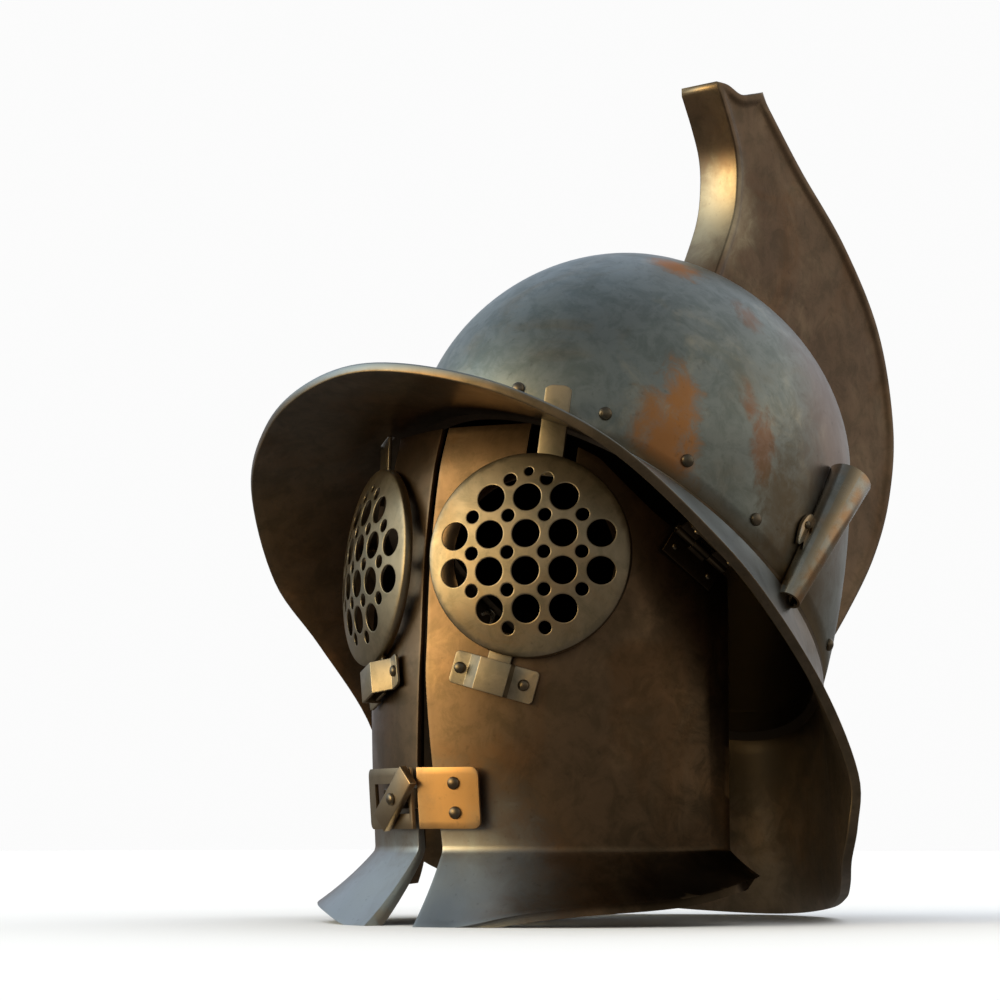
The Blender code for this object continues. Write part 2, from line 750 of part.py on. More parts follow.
def hole_list():
    """(across, up, radius) of every hole of a disc, in rows of the lattice."""
    holes = []
    for row, half in ((1.5, 1.0), (0.5, 2.0), (-0.5, 2.0), (-1.5, 1.0)):
        for i in range(int(2 * half) + 1):
            holes.append(((i - half) * HOLE_PITCH, row * HOLE_PITCH, HOLE_BIG))
    for row, half in ((2.0, 0.5), (1.0, 1.5), (0.0, 1.5), (-1.0, 1.5), (-2.0, 0.5)):
        for i in range(int(2 * half) + 1):
            holes.append(((i - half) * HOLE_PITCH, row * HOLE_PITCH, HOLE_SMALL))
    holes.append((0.0, 2.22 * HOLE_PITCH, HOLE_TINY))
    return holes


def circle(across, up, radius, sides):
    angles = [2 * math.pi * i / sides for i in range(sides)]
    return [(across + radius * math.cos(a), up + radius * math.sin(a)) for a in angles]


def make_disc(side, word, material):
    """A plate with its holes, drawn flat as triangles and then domed, with a turned-down rim."""
    loops = [circle(0.0, 0.0, DISC_RADIUS, DISC_SEGMENTS)]
    holes = hole_list()
    for across, up, radius in holes:
        sides = BIG_HOLE_SIDES if radius == HOLE_BIG else SMALL_HOLE_SIDES
        loops.append(circle(side * across, up, radius, sides))
    flat, edges = [], []
    for loop in loops:
        start = len(flat)
        flat += [Vector(p) for p in loop]
        edges += [(start + i, start + (i + 1) % len(loop)) for i in range(len(loop))]
    triangles = delaunay_2d_cdt(flat, edges, [], 1, 1e-7)[2]
    kept = []
    for triangle in triangles:
        middle = sum((flat[i] for i in triangle), Vector((0.0, 0.0))) / 3
        if all(math.hypot(middle.x - side * a, middle.y - u) > r for a, u, r in holes):
            kept.append(triangle)
    count = len(flat)
    points = [(p.x, p.y, -dome_drop(p.length)) for p in flat]
    points += [(p.x, p.y, -dome_drop(p.length) - DISC_WALL) for p in flat]
    faces = kept + [tuple(count + i for i in reversed(t)) for t in kept]
    faces += [(a, b, count + b, count + a) for a, b in edges[DISC_SEGMENTS:]]
    # The rim goes on from the plate's outline: down its outside, and up its inside.
    rim_low = -dome_drop(DISC_RADIUS) - DISC_RIM
    inside = circle(0.0, 0.0, DISC_RADIUS - DISC_WALL, DISC_SEGMENTS)
    first = len(points)
    points += [(x, y, rim_low) for x, y in loops[0]]
    points += [(x, y, rim_low) for x, y in inside]
    for i in range(DISC_SEGMENTS):
        j = (i + 1) % DISC_SEGMENTS
        points[count + i] = (*inside[i], -dome_drop(DISC_RADIUS) - DISC_WALL)
        low, high = first + i, first + j
        faces.append((i, j, high, low))
        faces.append((low, high, high + DISC_SEGMENTS, low + DISC_SEGMENTS))
        faces.append((low + DISC_SEGMENTS, high + DISC_SEGMENTS, count + j, count + i))
    matrix = disc_matrix(side)
    disc = place(add_object("eye_disc_" + word, points, faces, material), matrix)
    tab_length = (TAB_END - DISC_RADIUS + DISC_WALL) / 2
    tab = box_mesh((TAB_WIDTH / 2, tab_length, TAB_THICK / 2))
    lean = Matrix.Rotation(-side * math.radians(TAB_LEAN), 4, "Z")
    shift = Matrix.Translation((0.0, -(TAB_END - tab_length), rim_low + TAB_THICK / 2 + TAB_RAISE))
    boolean(disc, cutter("disc_tab_" + word, tab, matrix @ lean @ shift), "UNION")
    return disc


def make_visor(side, word, material):
    outer, inner = visor_grids()
    points, faces = sheet_mesh(outer, inner)
    visor = add_object("visor_" + word, [sided(side, p) for p in points], faces, material)
    eye = rod(EYE_HOLE, -EYE_HOLE, EYE_FRONT, EYE_SIDES)
    boolean(visor, cutter("eye_opening_" + word, eye, disc_matrix(side)))
    room = box_mesh((STRIP_WIDTH / 2 + STRIP_NOTCH, NOTCH_SLOT[1], NOTCH_DEPTH))
    boolean(visor, cutter("strip_notch_" + word, room, strip_matrix(side, NOTCH_SLOT[0], 0.0)))
    return visor


def strip_ends(side):
    low = disc_point(side, *STRIP_LOW, -STRIP_DEPTH)
    high = disc_point(side, *STRIP_HIGH, -STRIP_DEPTH)
    return low, high


def strip_matrix(side, beyond, shift):
    """Local Y along a strip, with the origin a given way up it from its lower end."""
    low, high = strip_ends(side)
    way = (high - low).normalized()
    normal = disc_axis(side)[1]
    origin = low + way * beyond + normal * shift
    return frame_at(origin, normal, way.cross(normal))


def make_strip(side, word, material):
    low, high = strip_ends(side)
    half = (high - low).length / 2
    c, w, h = STRIP_CORNER, STRIP_WIDTH / 2, half
    outline = [(-w, -h), (w, -h), (w, h - c), (w - c, h), (c - w, h), (-w, h - c)]
    mesh = prism_mesh(outline, -STRIP_THICK / 2, STRIP_THICK / 2)
    return place(add_object("brow_strip_" + word, *mesh, material), strip_matrix(side, half, 0.0))


def keeper_frame(side):
    """Local X across the disc's tab, local Y along it, local Z off the visor."""
    lean = math.radians(TAB_LEAN)
    across, up = -KEEPER_REACH * math.sin(lean), -KEEPER_REACH * math.cos(lean)
    target = disc_point(1, across, up, 0.0)
    normal = disc_axis(1)[1]
    height = target.z
    station = visor_station(target.x, height)
    for _ in range(6):
        surface = visor_point(station, height)
        depth = (target - surface).dot(normal)
        aim = target - normal * depth
        station, height = visor_station(aim.x, aim.z), aim.z
    surface = visor_point(station, height)
    face = visor_normal(station, height)
    low = disc_point(1, 0.0, 0.0, 0.0)
    way = low - disc_point(1, across, up, 0.0)
    matrix = frame_at(surface + face * GAP, face, way.cross(face))
    return to_side(side, matrix)


def make_keeper(side, word, material, rivet_material):
    matrix = keeper_frame(side)
    end, ramp, top = KEEPER_INNER
    drop, other = KEEPER_OUTER
    s, rise = KEEPER_SHEET, KEEPER_RISE
    outline = [(end, 0), (ramp + s / 2, 0), (top + s / 2, rise), (drop - s, rise), (drop - s, 0)]
    outline += [(other, 0), (other, s), (drop, s), (drop, rise + s), (top, rise + s), (ramp, s), (end, s)]
    outline = [(side * a, b) for a, b in outline]
    half = KEEPER_BAND / 2
    mesh = prism_mesh(outline, -half, half)
    turn = Matrix(((1, 0, 0, 0), (0, 0, -1, 0), (0, 1, 0, 0), (0, 0, 0, 1)))
    keeper = place(add_object("keeper_" + word, *mesh, material), matrix @ turn)
    pieces = [keeper]
    for end, spot in (("inner", (end + ramp) / 2), ("outer", (drop + other) / 2)):
        where = matrix @ Vector((side * spot, 0.0, s + GAP))
        normal = matrix.to_3x3().col[2]
        pieces.append(rivet(f"keeper_rivet_{end}_{word}", where, normal, rivet_material, KEEPER_RIVET))
    return pieces


def rivet(name, point, normal, material, radius=RIVET_RADIUS):
    """A domed head whose flat side is at a point."""
    height = RIVET_HEIGHT * radius / RIVET_RADIUS
    dome = [(across * radius, up * height) for across, up in RIVET_DOME]
    rings = tube_rings(dome, RIVET_SEGMENTS)
    points, faces = ring_mesh(rings)
    faces.append(tuple(range(len(points) - RIVET_SEGMENTS, len(points))))
    head = add_object(name, points, faces, material, sharp=60.0)
    return place(head, frame_at(point, normal, Vector((0.3, 0.1, 1.0))))


def clasp_surface(x, height, lift):
    """A point over both visor halves, bridging the slit with a fold on the middle line."""
    side = 1 if x >= 0 else -1
    width = abs(x)
    edge = visor_value("slit", height) + CLASP_BRIDGE
    if width >= edge:
        station = visor_station(width, height)
        base = visor_point(station, height)
        normal = visor_normal(station, height)
    else:
        station = visor_station(edge, height)
        base = visor_point(station, height)
        normal = visor_normal(station, height)
        along = Vector((normal.y, -normal.x, 0.0)).normalized()
        base = base + along * ((width - base.x) / along.x)
    point = base + normal * lift
    return Vector((side * point.x, point.y, height)), sided(side, normal)


def clasp_sheet(name, xs, low, high, lift, sheet, material):
    outer, inner = [], []
    for height in (high, (low + high) / 2, low):
        outer.append([clasp_surface(x, height, lift + sheet)[0] for x in xs])
        inner.append([clasp_surface(x, height, lift)[0] for x in xs])
    return add_object(name, *sheet_mesh(outer, inner), material)


def make_clasp(plate, rivet_material):
    """The folded clasp: a riveted arm on the left half, and a slotted arm held by the turn button."""
    left, right = [], []
    fold = GAP / 2
    xs = [fold + (CLASP_LEFT_REACH - fold) * i / 6 for i in range(7)]
    arm = clasp_sheet("clasp_plate", xs, CLASP_LOW, CLASP_HIGH, CLASP_LIFT, CLASP_SHEET, plate)
    left.append(arm)
    xs = [-fold - (CLASP_RIGHT_REACH - fold) * i / 6 for i in range(7)]
    hasp = clasp_sheet("clasp_slotted_arm", xs, CLASP_LOW, CLASP_HIGH, CLASP_LIFT, CLASP_SHEET, plate)
    middle = (CLASP_LOW + CLASP_HIGH) / 2
    slot_x = -(CLASP_SLOT[0] + CLASP_SLOT[1]) / 2
    centre, normal = clasp_surface(slot_x, middle, CLASP_LIFT)
    slot = box_mesh(((CLASP_SLOT[1] - CLASP_SLOT[0]) / 2, CLASP_SLOT_HEIGHT / 2, CLASP_LIFT))
    matrix = frame_at(centre, normal, normal.cross(Vector((0.0, 0.0, 1.0))))
    boolean(hasp, cutter("clasp_slot", slot, matrix))
    right.append(hasp)
    xs = [-CLASP_BASE[0] - (CLASP_BASE[1] - CLASP_BASE[0]) * i / 4 for i in range(5)]
    base_low, base_high = middle - CLASP_BASE_HEIGHT / 2, middle + CLASP_BASE_HEIGHT / 2
    base = clasp_sheet("clasp_base", xs, base_low, base_high, GAP, CLASP_LIFT - 2 * GAP, rivet_material)
    right.append(base)
    for number, share in (("upper", 0.5), ("lower", -0.5)):
        height = middle + share * CLASP_RIVETS_APART
        point, normal = clasp_surface(CLASP_RIVETS_AT, height, CLASP_LIFT + CLASP_SHEET + GAP)
        left.append(rivet("clasp_rivet_" + number, point, normal, rivet_material, CLASP_RIVET))
    point, normal = clasp_surface(-BASE_RIVET_AT, middle, CLASP_LIFT)
    right.append(rivet("clasp_base_rivet", point, normal, rivet_material, BASE_RIVET))
    return left, right


def button_frame():
    """Local Z on the turn button's post, with the button's flat underside at the origin."""
    middle = (CLASP_LOW + CLASP_HIGH) / 2
    point, normal = clasp_surface(-BUTTON_AT, middle, CLASP_LIFT + CLASP_SHEET + GAP)
    return frame_at(point, normal, Vector((0.0, 0.0, 1.0)).cross(normal))


def make_button(material):
    """A slanted lozenge with a round head on top and a short post that reaches into the slot."""
    frame = button_frame()
    outline = list(BUTTON_CORNERS) + [(-a, -b) for a, b in BUTTON_CORNERS]
    mesh = prism_mesh(outline, 0.0, BUTTON_SHEET)
    button = place(add_object("turn_button", *mesh, material), frame)
    head = ring_mesh(tube_rings(BUTTON_HEAD, BUTTON_SIDES))
    post = rod(BUTTON_POST, -CLASP_SHEET, BUTTON_SHEET / 2, BUTTON_SIDES)
    boolean(button, cutter("button_head", head, frame), "UNION")
    boolean(button, cutter("button_post", post, frame), "UNION")
    return button


def hinge_line():
    """Middle, direction towards the back and outward normal of the left temple hinge."""
    ends = [visor_point(s, visor_top(s) - HINGE_BELOW) for s in HINGE_STATIONS]
    middle_station = sum(HINGE_STATIONS) / 2
    normal = visor_normal(middle_station, visor_top(middle_station) - 2 * LEAF_WIDTH)
    way = (ends[1] - ends[0]).normalized()
    normal = (normal - normal.dot(way) * way).normalized()
    middle = (ends[0] + ends[1]) / 2
    surface = visor_point(middle_station, middle.z)
    middle = middle + normal * max(0.0, (surface - middle).dot(normal)) + normal * HINGE_STANDOFF
    return middle, way, normal


def under_brim(point):
    """Point and downward normal of the brim's underside nearest to a point of the left side."""
    _, lines, normals = brim_grid()
    best = None
    for i in range(ROUND_COLUMNS // 2):
        for k in range(BRIM_STEPS):
            for share in NEAREST_SHARES:
                for turn in NEAREST_SHARES:
                    a = lines[i][k].lerp(lines[i][k + 1], share)
                    b = lines[i + 1][k].lerp(lines[i + 1][k + 1], share)
                    here = a.lerp(b, turn)
                    if best is None or (here - point).length < best[0]:
                        best = ((here - point).length, here, -normals[i][k])
    _, here, down = best
    return here + down * (BRIM_WALL / 2), down


def joined(name, side, parts, material):
    """One piece made of several meshes, each in its own frame of the left side."""
    mesh, frame = parts[0]
    piece = place(add_object(name, *mesh, material), to_side(side, frame))
    for i, (mesh, frame) in enumerate(parts[1:]):
        boolean(piece, cutter(f"{name}_part_{i}", mesh, to_side(side, frame)), "UNION")
    return piece


def rod(radius, low, high, segments):
    return ring_mesh(tube_rings([(0.0, low), (radius, low), (radius, high), (0.0, high)], segments))


def make_hinge(side, word, material, rivet_material):
    """Cheek leaf, brim leaf, pin and rivets of one temple hinge."""
    middle, way, normal = hinge_line()
    frame = frame_at(middle, way, normal)
    half = HINGE_LENGTH / 2
    knuckle = half / 3
    hole = rod(HINGE_BORE, -half - 2 * PIN_PAST, half + 2 * PIN_PAST, BARREL_SIDES)
    bore = cutter("hinge_bore_" + word, hole, to_side(side, frame))
    down = way.cross(normal)
    if down.z > 0:
        down = -down
    # Cheek leaf: a plate on the cheek, a web and the middle barrel.
    sink = HINGE_STANDOFF - CHEEK_LEAF_GAP - LEAF_SHEET / 2
    centre = middle + down * (HINGE_BARREL + LEAF_WIDTH / 2) - normal * sink
    plate = box_mesh((LEAF_WIDTH / 2, half, LEAF_SHEET / 2))
    web_way = down * (HINGE_BARREL + LEAF_SHEET) - normal * sink
    web = box_mesh((web_way.length * WEB_HALF, knuckle - GAP, LEAF_SHEET / 2))
    parts = [
        (plate, frame_at(centre, normal, down)),
        (web, frame_at(middle + web_way * WEB_MIDDLE, way.cross(web_way), web_way)),
        (rod(HINGE_BARREL, -knuckle + GAP, knuckle - GAP, BARREL_SIDES), frame),
    ]
    cheek = joined("hinge_cheek_leaf_" + word, side, parts, material)
    boolean(cheek, bore)
    # Brim leaf: a plate under the brim, two webs and the two end barrels.
    under, brim_down = under_brim(middle + normal * BRIM_LEAF_OUT)
    outward = (normal - normal.dot(brim_down) * brim_down).normalized()
    plate_centre = under + brim_down * (BRIM_LEAF_GAP + LEAF_SHEET / 2)
    plate_centre = plate_centre - way * (plate_centre - middle).dot(way)
    plate_way = brim_down.cross(outward)
    if plate_way.dot(way) < 0:
        plate_way = -plate_way
    brim_plate = box_mesh((BRIM_LEAF_WIDTH / 2, half, LEAF_SHEET / 2))
    parts = [(brim_plate, frame_at(plate_centre, brim_down, outward))]
    reach = plate_centre - outward * (BRIM_LEAF_WIDTH / 2 - LEAF_SHEET / 2) - middle
    for sign in (-1, 1):
        spot = middle + way * (sign * (half + knuckle) / 2) + reach * WEB_MIDDLE
        web = box_mesh((reach.length * WEB_HALF, (half - knuckle) / 2 - GAP, LEAF_SHEET / 2))
        parts.append((web, frame_at(spot, way.cross(reach), reach)))
        ends = sorted((sign * knuckle, sign * half))
        parts.append((rod(HINGE_BARREL, ends[0], ends[1], BARREL_SIDES), frame))
    brim_leaf = joined("hinge_brim_leaf_" + word, side, parts, material)
    boolean(brim_leaf, bore)
    pin_mesh = rod(HINGE_PIN, -half - PIN_PAST, half + PIN_PAST, PIN_SIDES)
    place(add_object("hinge_pin_" + word, *pin_mesh, rivet_material), to_side(side, frame))
    moving = [cheek]
    for end, sign in (("front", -1), ("back", 1)):
        point = centre + way * (sign * half * LEAF_RIVET_PLACE) + normal * (LEAF_SHEET / 2 + GAP)
        name = f"hinge_cheek_rivet_{end}_{word}"
        moving.append(rivet(name, sided(side, point), sided(side, normal), rivet_material, SMALL_RIVET))
        point = plate_centre + plate_way * (sign * half * LEAF_RIVET_PLACE) + outward * BRIM_RIVET_OUT
        point = point + brim_down * (LEAF_SHEET / 2 + GAP)
        name = f"hinge_brim_rivet_{end}_{word}"
        rivet(name, sided(side, point), sided(side, brim_down), rivet_material, SMALL_RIVET)
    return moving


def make_tube(side, word, material, rivet_material):
    """The tapered socket for a plume, open along the bowl that it lies on, with its leaf-shaped lug
    and the lug's pin."""
    way = TUBE_MOUTH - TUBE_LOW
    length = way.length
    way = way.normalized()
    widening = (TUBE_MOUTH_RADIUS - TUBE_LOW_RADIUS) / length
    outside = [(0.0, 0.0), (TUBE_LOW_RADIUS, 0.0), (TUBE_MOUTH_RADIUS, length), (0.0, length)]
    ends = (-TUBE_PAST, length + TUBE_PAST)
    low, high = (TUBE_LOW_RADIUS - TUBE_WALL + widening * height for height in ends)
    inside = [(0.0, ends[0]), (low, ends[0]), (high, ends[1]), (0.0, ends[1])]
    frame = to_side(side, frame_at(TUBE_LOW, way, Vector((1.0, 0.0, 0.0))))
    mesh = ring_mesh(tube_rings(outside, TUBE_SEGMENTS))
    tube = place(add_object("plume_tube_" + word, *mesh, material), frame)
    front = Vector((0.0, -way.z, way.y)).normalized()
    radius = TUBE_LOW_RADIUS + widening * length * LUG_PLACE
    seat = bowl_surface(TUBE_LOW + way * (length * LUG_PLACE) + front * (radius + LUG_AHEAD))
    normal = bowl_normal(seat)
    outline = []
    for i in range(LUG_SEGMENTS):
        angle = 2 * math.pi * i / LUG_SEGMENTS
        taper = 1 + LUG_TAPER * min(math.sin(angle), 0.0)
        outline.append((LUG_HALF_WIDTH * taper * math.cos(angle), LUG_HALF_LENGTH * math.sin(angle)))
    lug_frame = to_side(side, frame_at(seat + normal * 2 * GAP, normal, way.cross(normal)))
    boolean(tube, cutter("lug_" + word, prism_mesh(outline, 0.0, LUG_SHEET), lug_frame), "UNION")
    boolean(tube, seat_cutter("tube_seat_" + word, BRIM_STEPS - 2))
    boolean(tube, cutter("tube_core_" + word, ring_mesh(tube_rings(inside, TUBE_SEGMENTS)), frame))
    head = seat + normal * (LUG_SHEET + LUG_PIN_OVER) + way * LUG_PIN_UP + front * LUG_PIN_AHEAD
    rivet("plume_pin_" + word, sided(side, head), sided(side, normal), rivet_material, LUG_PIN)


def make_seam_rivets(material):
    rivets = []
    for side, word in ((1, "left"), (-1, "right")):
        for number, bearing in enumerate(SEAM_RIVETS, 1):
            angle = math.radians(bearing)
            point = bowl_point(angle, seam_polar(angle, 0.0, SEAM_RIVET_RISE))
            normal = bowl_normal(point)
            name = f"seam_rivet_{number}_{word}"
            spot = point + normal * SEAM_RIVET_LIFT
            rivets.append(rivet(name, sided(side, spot), sided(side, normal), material))
    return rivets


def cut_strip_slots(brim):
    for side, word in ((1, "left"), (-1, "right")):
        room = (STRIP_WIDTH / 2 + STRIP_ROOM, STRIP_SLOT[1], STRIP_THICK / 2 + STRIP_ROOM)
        slot = cutter("strip_slot_" + word, box_mesh(room), strip_matrix(side, STRIP_SLOT[0], 0.0))
        boolean(brim, slot)


def joint_empty(name, matrix, pieces):
    """An empty on a joint's axis that carries the pieces, which stay where they are."""
    empty = bpy.data.objects.new(name, None)
    bpy.context.scene.collection.objects.link(empty)
    empty.matrix_world = matrix
    bpy.context.view_layer.update()
    for piece in pieces:
        piece.parent = empty
        piece.matrix_parent_inverse = matrix.inverted()
    return empty


def centre_on_floor():
    """Moves everything so that the origin is under the middle of the helmet."""
    for obj in bpy.data.objects:
        if obj.parent is None:
            obj.matrix_world = Matrix.Translation((0.0, FRAME_SHIFT, 0.0)) @ obj.matrix_world


def main():
    clear_scene()
    skull = bronze("bronze_bowl", (0.20, 0.21, 0.19), 0.34)
    sheet = bronze("bronze_brim", (0.21, 0.15, 0.095), 0.34)
    fin = bronze("bronze_crest", (0.19, 0.13, 0.09), 0.36)
    mask = bronze("bronze_visor", (0.34, 0.22, 0.11), 0.36)
    grille = bronze("bronze_disc", (0.42, 0.33, 0.21), 0.40)
    fitting = bronze("bronze_fittings", (0.50, 0.38, 0.24), 0.36)
    studs = bronze("bronze_rivets", (0.36, 0.30, 0.21), 0.34)
    socket = bronze("bronze_tubes", (0.36, 0.28, 0.19), 0.32)

    make_bowl(skull)
    cut_strip_slots(make_brim(sheet))
    make_crest(fin)
    make_seam_rivets(studs)
    clasp_left, clasp_right = make_clasp(fitting, studs)
    for side, word in ((1, "left"), (-1, "right")):
        disc = make_disc(side, word, grille)
        strip = make_strip(side, word, fitting)
        leaf_pieces = make_hinge(side, word, fitting, studs)
        pieces = [make_visor(side, word, mask)] + make_keeper(side, word, fitting, studs) + leaf_pieces
        pieces += clasp_left if side > 0 else clasp_right
        make_tube(side, word, socket, studs)
        hinge = joint_empty(f"visor_{word}_axis", to_side(side, frame_at(*hinge_line())), pieces)
        slide = joint_empty(f"eye_disc_{word}_slide", disc_matrix(side), [disc])
        slide.parent = hinge
        slide.matrix_parent_inverse = hinge.matrix_world.inverted()
        joint_empty(f"brow_strip_{word}_slide", strip_matrix(side, 0.0, 0.0), [strip])
        if side < 0:
            axis = joint_empty("turn_button_axis", button_frame(), [make_button(fitting)])
            axis.parent = hinge
            axis.matrix_parent_inverse = hinge.matrix_world.inverted()
    centre_on_floor()


main()
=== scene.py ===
"""The looks of a gladiator's bronze helmet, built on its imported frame. Each large sheet is drawn again
from the same named sizes as the model, with finer facets, rounded edges and beads; each small fitting
is its CAD solid with eased edges, or a new piece in the same place. Metres, +Z up, the face along -Y."""

import json
import math

import bmesh
import bpy
import numpy as np
from mathutils import Matrix, Vector
from mathutils.geometry import delaunay_2d_cdt

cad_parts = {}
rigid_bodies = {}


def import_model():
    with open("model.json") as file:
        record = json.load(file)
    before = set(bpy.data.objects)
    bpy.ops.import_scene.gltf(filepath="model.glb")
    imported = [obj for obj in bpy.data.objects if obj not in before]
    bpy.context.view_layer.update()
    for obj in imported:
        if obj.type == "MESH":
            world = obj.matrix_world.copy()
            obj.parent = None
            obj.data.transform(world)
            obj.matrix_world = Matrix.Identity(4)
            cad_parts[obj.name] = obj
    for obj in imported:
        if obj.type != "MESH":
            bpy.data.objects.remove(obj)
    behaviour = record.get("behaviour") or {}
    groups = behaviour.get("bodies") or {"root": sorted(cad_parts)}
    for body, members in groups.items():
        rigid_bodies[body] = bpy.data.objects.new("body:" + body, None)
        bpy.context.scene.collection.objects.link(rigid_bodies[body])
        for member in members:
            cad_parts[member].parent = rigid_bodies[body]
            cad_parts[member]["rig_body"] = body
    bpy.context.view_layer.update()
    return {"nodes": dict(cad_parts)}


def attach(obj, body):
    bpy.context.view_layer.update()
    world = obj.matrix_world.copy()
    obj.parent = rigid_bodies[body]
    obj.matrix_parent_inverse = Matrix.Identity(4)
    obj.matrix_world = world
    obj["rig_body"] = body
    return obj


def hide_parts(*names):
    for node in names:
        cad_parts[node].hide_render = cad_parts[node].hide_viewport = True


FRAME_SHIFT = Vector((0.0, -0.0013, 0.0))  # from the sizes below to the frame
GAP = 0.0003  # between pieces

BOWL_CENTRE = Vector((0.0, -0.0060, 0.2435))
BOWL_HALF_WIDTH = 0.1070
BOWL_HALF_LENGTH = 0.1340
BOWL_RISE = 0.1155
BOWL_DROP = 0.2450
BOWL_POWER = 1.92
BOWL_WALL = 0.0018
BOWL_COLUMNS = 144
BOWL_ROWS = 36
SEAM_HEIGHT = 0.1684
SEAM_FALL = 0.66

BRIM_COLUMNS = ("bearing", "x", "y", "z", "out", "down")
BRIM_ROWS = (
    (0, 0.000, -0.2205, 0.2715, 0.50, -0.10),
    (15, 0.046, -0.2140, 0.2655, 0.46, -0.05),
    (30, 0.088, -0.1975, 0.2510, 0.38, 0.15),
    (45, 0.125, -0.1715, 0.2250, 0.28, 0.30),
    (60, 0.151, -0.1290, 0.1820, 0.20, 0.42),
    (73, 0.1555, -0.0905, 0.1500, 0.16, 0.46),
    (86, 0.1565, -0.0515, 0.1110, 0.14, 0.48),
    (98, 0.1590, -0.0305, 0.0730, 0.12, 0.50),
    (109, 0.1555, -0.0270, 0.0490, 0.12, 0.54),
    (119, 0.1460, -0.0190, 0.0320, 0.12, 0.56),
    (130, 0.1290, 0.0040, 0.0200, 0.12, 0.58),
    (143, 0.1010, 0.0400, 0.0115, 0.12, 0.62),
    (160, 0.056, 0.0880, 0.0050, 0.12, 0.64),
    (180, 0.000, 0.1140, 0.0020, 0.12, 0.66),
)
BRIM_WALL = 0.0020
BRIM_EDGE = 0.0050
BRIM_LIP = 0.0008
BRIM_TURNS = 192
BRIM_STEPS = 22
COLLAR_RISE = 0.012
COLLAR_GAP = 0.0007
RIM_TURNS = (75, 50, 25, 0, -25, -50, -75)  # degrees round the rim's edge
RIM_POWER = 0.55  # below 1, the rim is squarer than a half circle

CREST_HALF_WIDTH = 0.0136
CREST_BEAD = 0.0030
CREST_RECESS = 0.0014
CREST_FILLET = 0.0050  # width of the hollow curve from the bead down to the panel
CREST_FRONT = (  # y, z, upward from the bowl
    (0.0350, 0.3300), (0.0510, 0.3580), (0.0670, 0.3900), (0.0712, 0.4120),
    (0.0700, 0.4290), (0.0641, 0.4440), (0.0588, 0.4545), (0.0540, 0.4635),
)
CREST_TOP = ((0.0540, 0.4665), (0.0640, 0.4665), (0.0760, 0.4632), (0.0870, 0.4655), (0.0975, 0.4685))
CREST_REAR = (  # y, z, down to the bowl again
    (0.1030, 0.4595), (0.1332, 0.4290), (0.1762, 0.3900), (0.2102, 0.3430), (0.2242, 0.2880),
    (0.2192, 0.2450), (0.2022, 0.2080), (0.1732, 0.1720), (0.1342, 0.1320),
)
CREST_STEP = 0.0028
CREST_SINK = 0.0011  # how far its base goes into the bowl's wall
CREST_EDGE_ROUND = 0.0011
CREST_RINGS = (0.0003, 0.0007, 0.0012, 0.0022, CREST_BEAD, 0.0042, 0.0054, 0.0066, 0.0082)  # in from the edge
CREST_GRID = 0.0055
CREST_INNER = 0.0105  # where the rings give way to the grid

VISOR_COLUMNS = ("height", "x", "y")  # the slit's edge, downward
VISOR_ROWS = (
    (0.2490, 0.0021, -0.1565),
    (0.2260, 0.0021, -0.1635),
    (0.1820, 0.0021, -0.1700),
    (0.1400, 0.0021, -0.1725),
    (0.1200, 0.0024, -0.1735),
    (0.0780, 0.0052, -0.1715),
    (0.0370, 0.0082, -0.1670),
)
VISOR_CHEEK = ((0.044, -0.1630), (0.088, -0.1360))
VISOR_PROW = -0.1725
VISOR_CORNER = (0.1040, -0.0765)
VISOR_RETURN = (0.1055, -0.0620)
# Station along the plate and height of its upper edge. Station 0 is the slit, 1 the temple corner.
VISOR_TOP = ((0.0, 0.2485), (0.35, 0.2485), (0.62, 0.2300), (0.82, 0.2030), (1.0, 0.1830), (1.1, 0.1720))
VISOR_WALL = 0.0024
VISOR_STATIONS = 64
VISOR_LEVELS = 54
CREASE_HEIGHT = 0.037
CREASE_WALL = 0.0040
CREASE_ROUND = 0.0022
CREASE_SWELL = 0.025  # height above the crease in which the wall thickens
FOOT_WALL = 0.0080
FOOT_STEPS = 14
FOOT_LENGTH = 0.045  # about, down its slope
FOOT_BOW = 0.15
FOOT_SAG = 0.10
FOOT_COLUMNS = ("station", "out", "down", "turn")  # turn in degrees from the plate's own way out
FOOT_ROWS = (
    (0.0, 0.0315, 0.0370, 0.0),
    (0.15, 0.0310, 0.0370, 2.0),
    (0.35, 0.0310, 0.0310, 4.0),
    (0.55, 0.0300, 0.0270, 6.0),
    (0.80, 0.0255, 0.0235, 12.0),
    (0.90, 0.0240, 0.0200, 18.0),
    (1.0, 0.0225, 0.0145, 26.0),
    (1.1, 0.0150, 0.0130, 40.0),
)

DISC_RADIUS = 0.051
DISC_TOP = Vector((0.0574, -0.1615, 0.182))
DISC_BEARING = 28.0
DISC_TILT = 3.9
DISC_DOME_RADIUS = 0.150
DISC_WALL = 0.0016
DISC_RIM = 0.0040
DISC_SEGMENTS = 96
HOLE_PITCH = 0.0185
HOLE_BIG = 0.0069
HOLE_SMALL = 0.0032
HOLE_TINY = 0.0022
HOLE_EASE = 0.0004  # worn edge round each hole
HOLE_SIDES = {HOLE_BIG: 40, HOLE_SMALL: 28, HOLE_TINY: 28}
DISC_GRID = 0.0024
DISC_CLEAR = 0.0012  # from the grid to any edge
EYE_HOLE = 0.0400
EYE_CUT = (-0.040, 0.020)  # how deep and how high the cutter reaches
TAB_LEAN = 16.0
TAB_WIDTH = 0.0120
TAB_END = 0.0705
TAB_THICK = 0.0018
TAB_RAISE = 0.0004

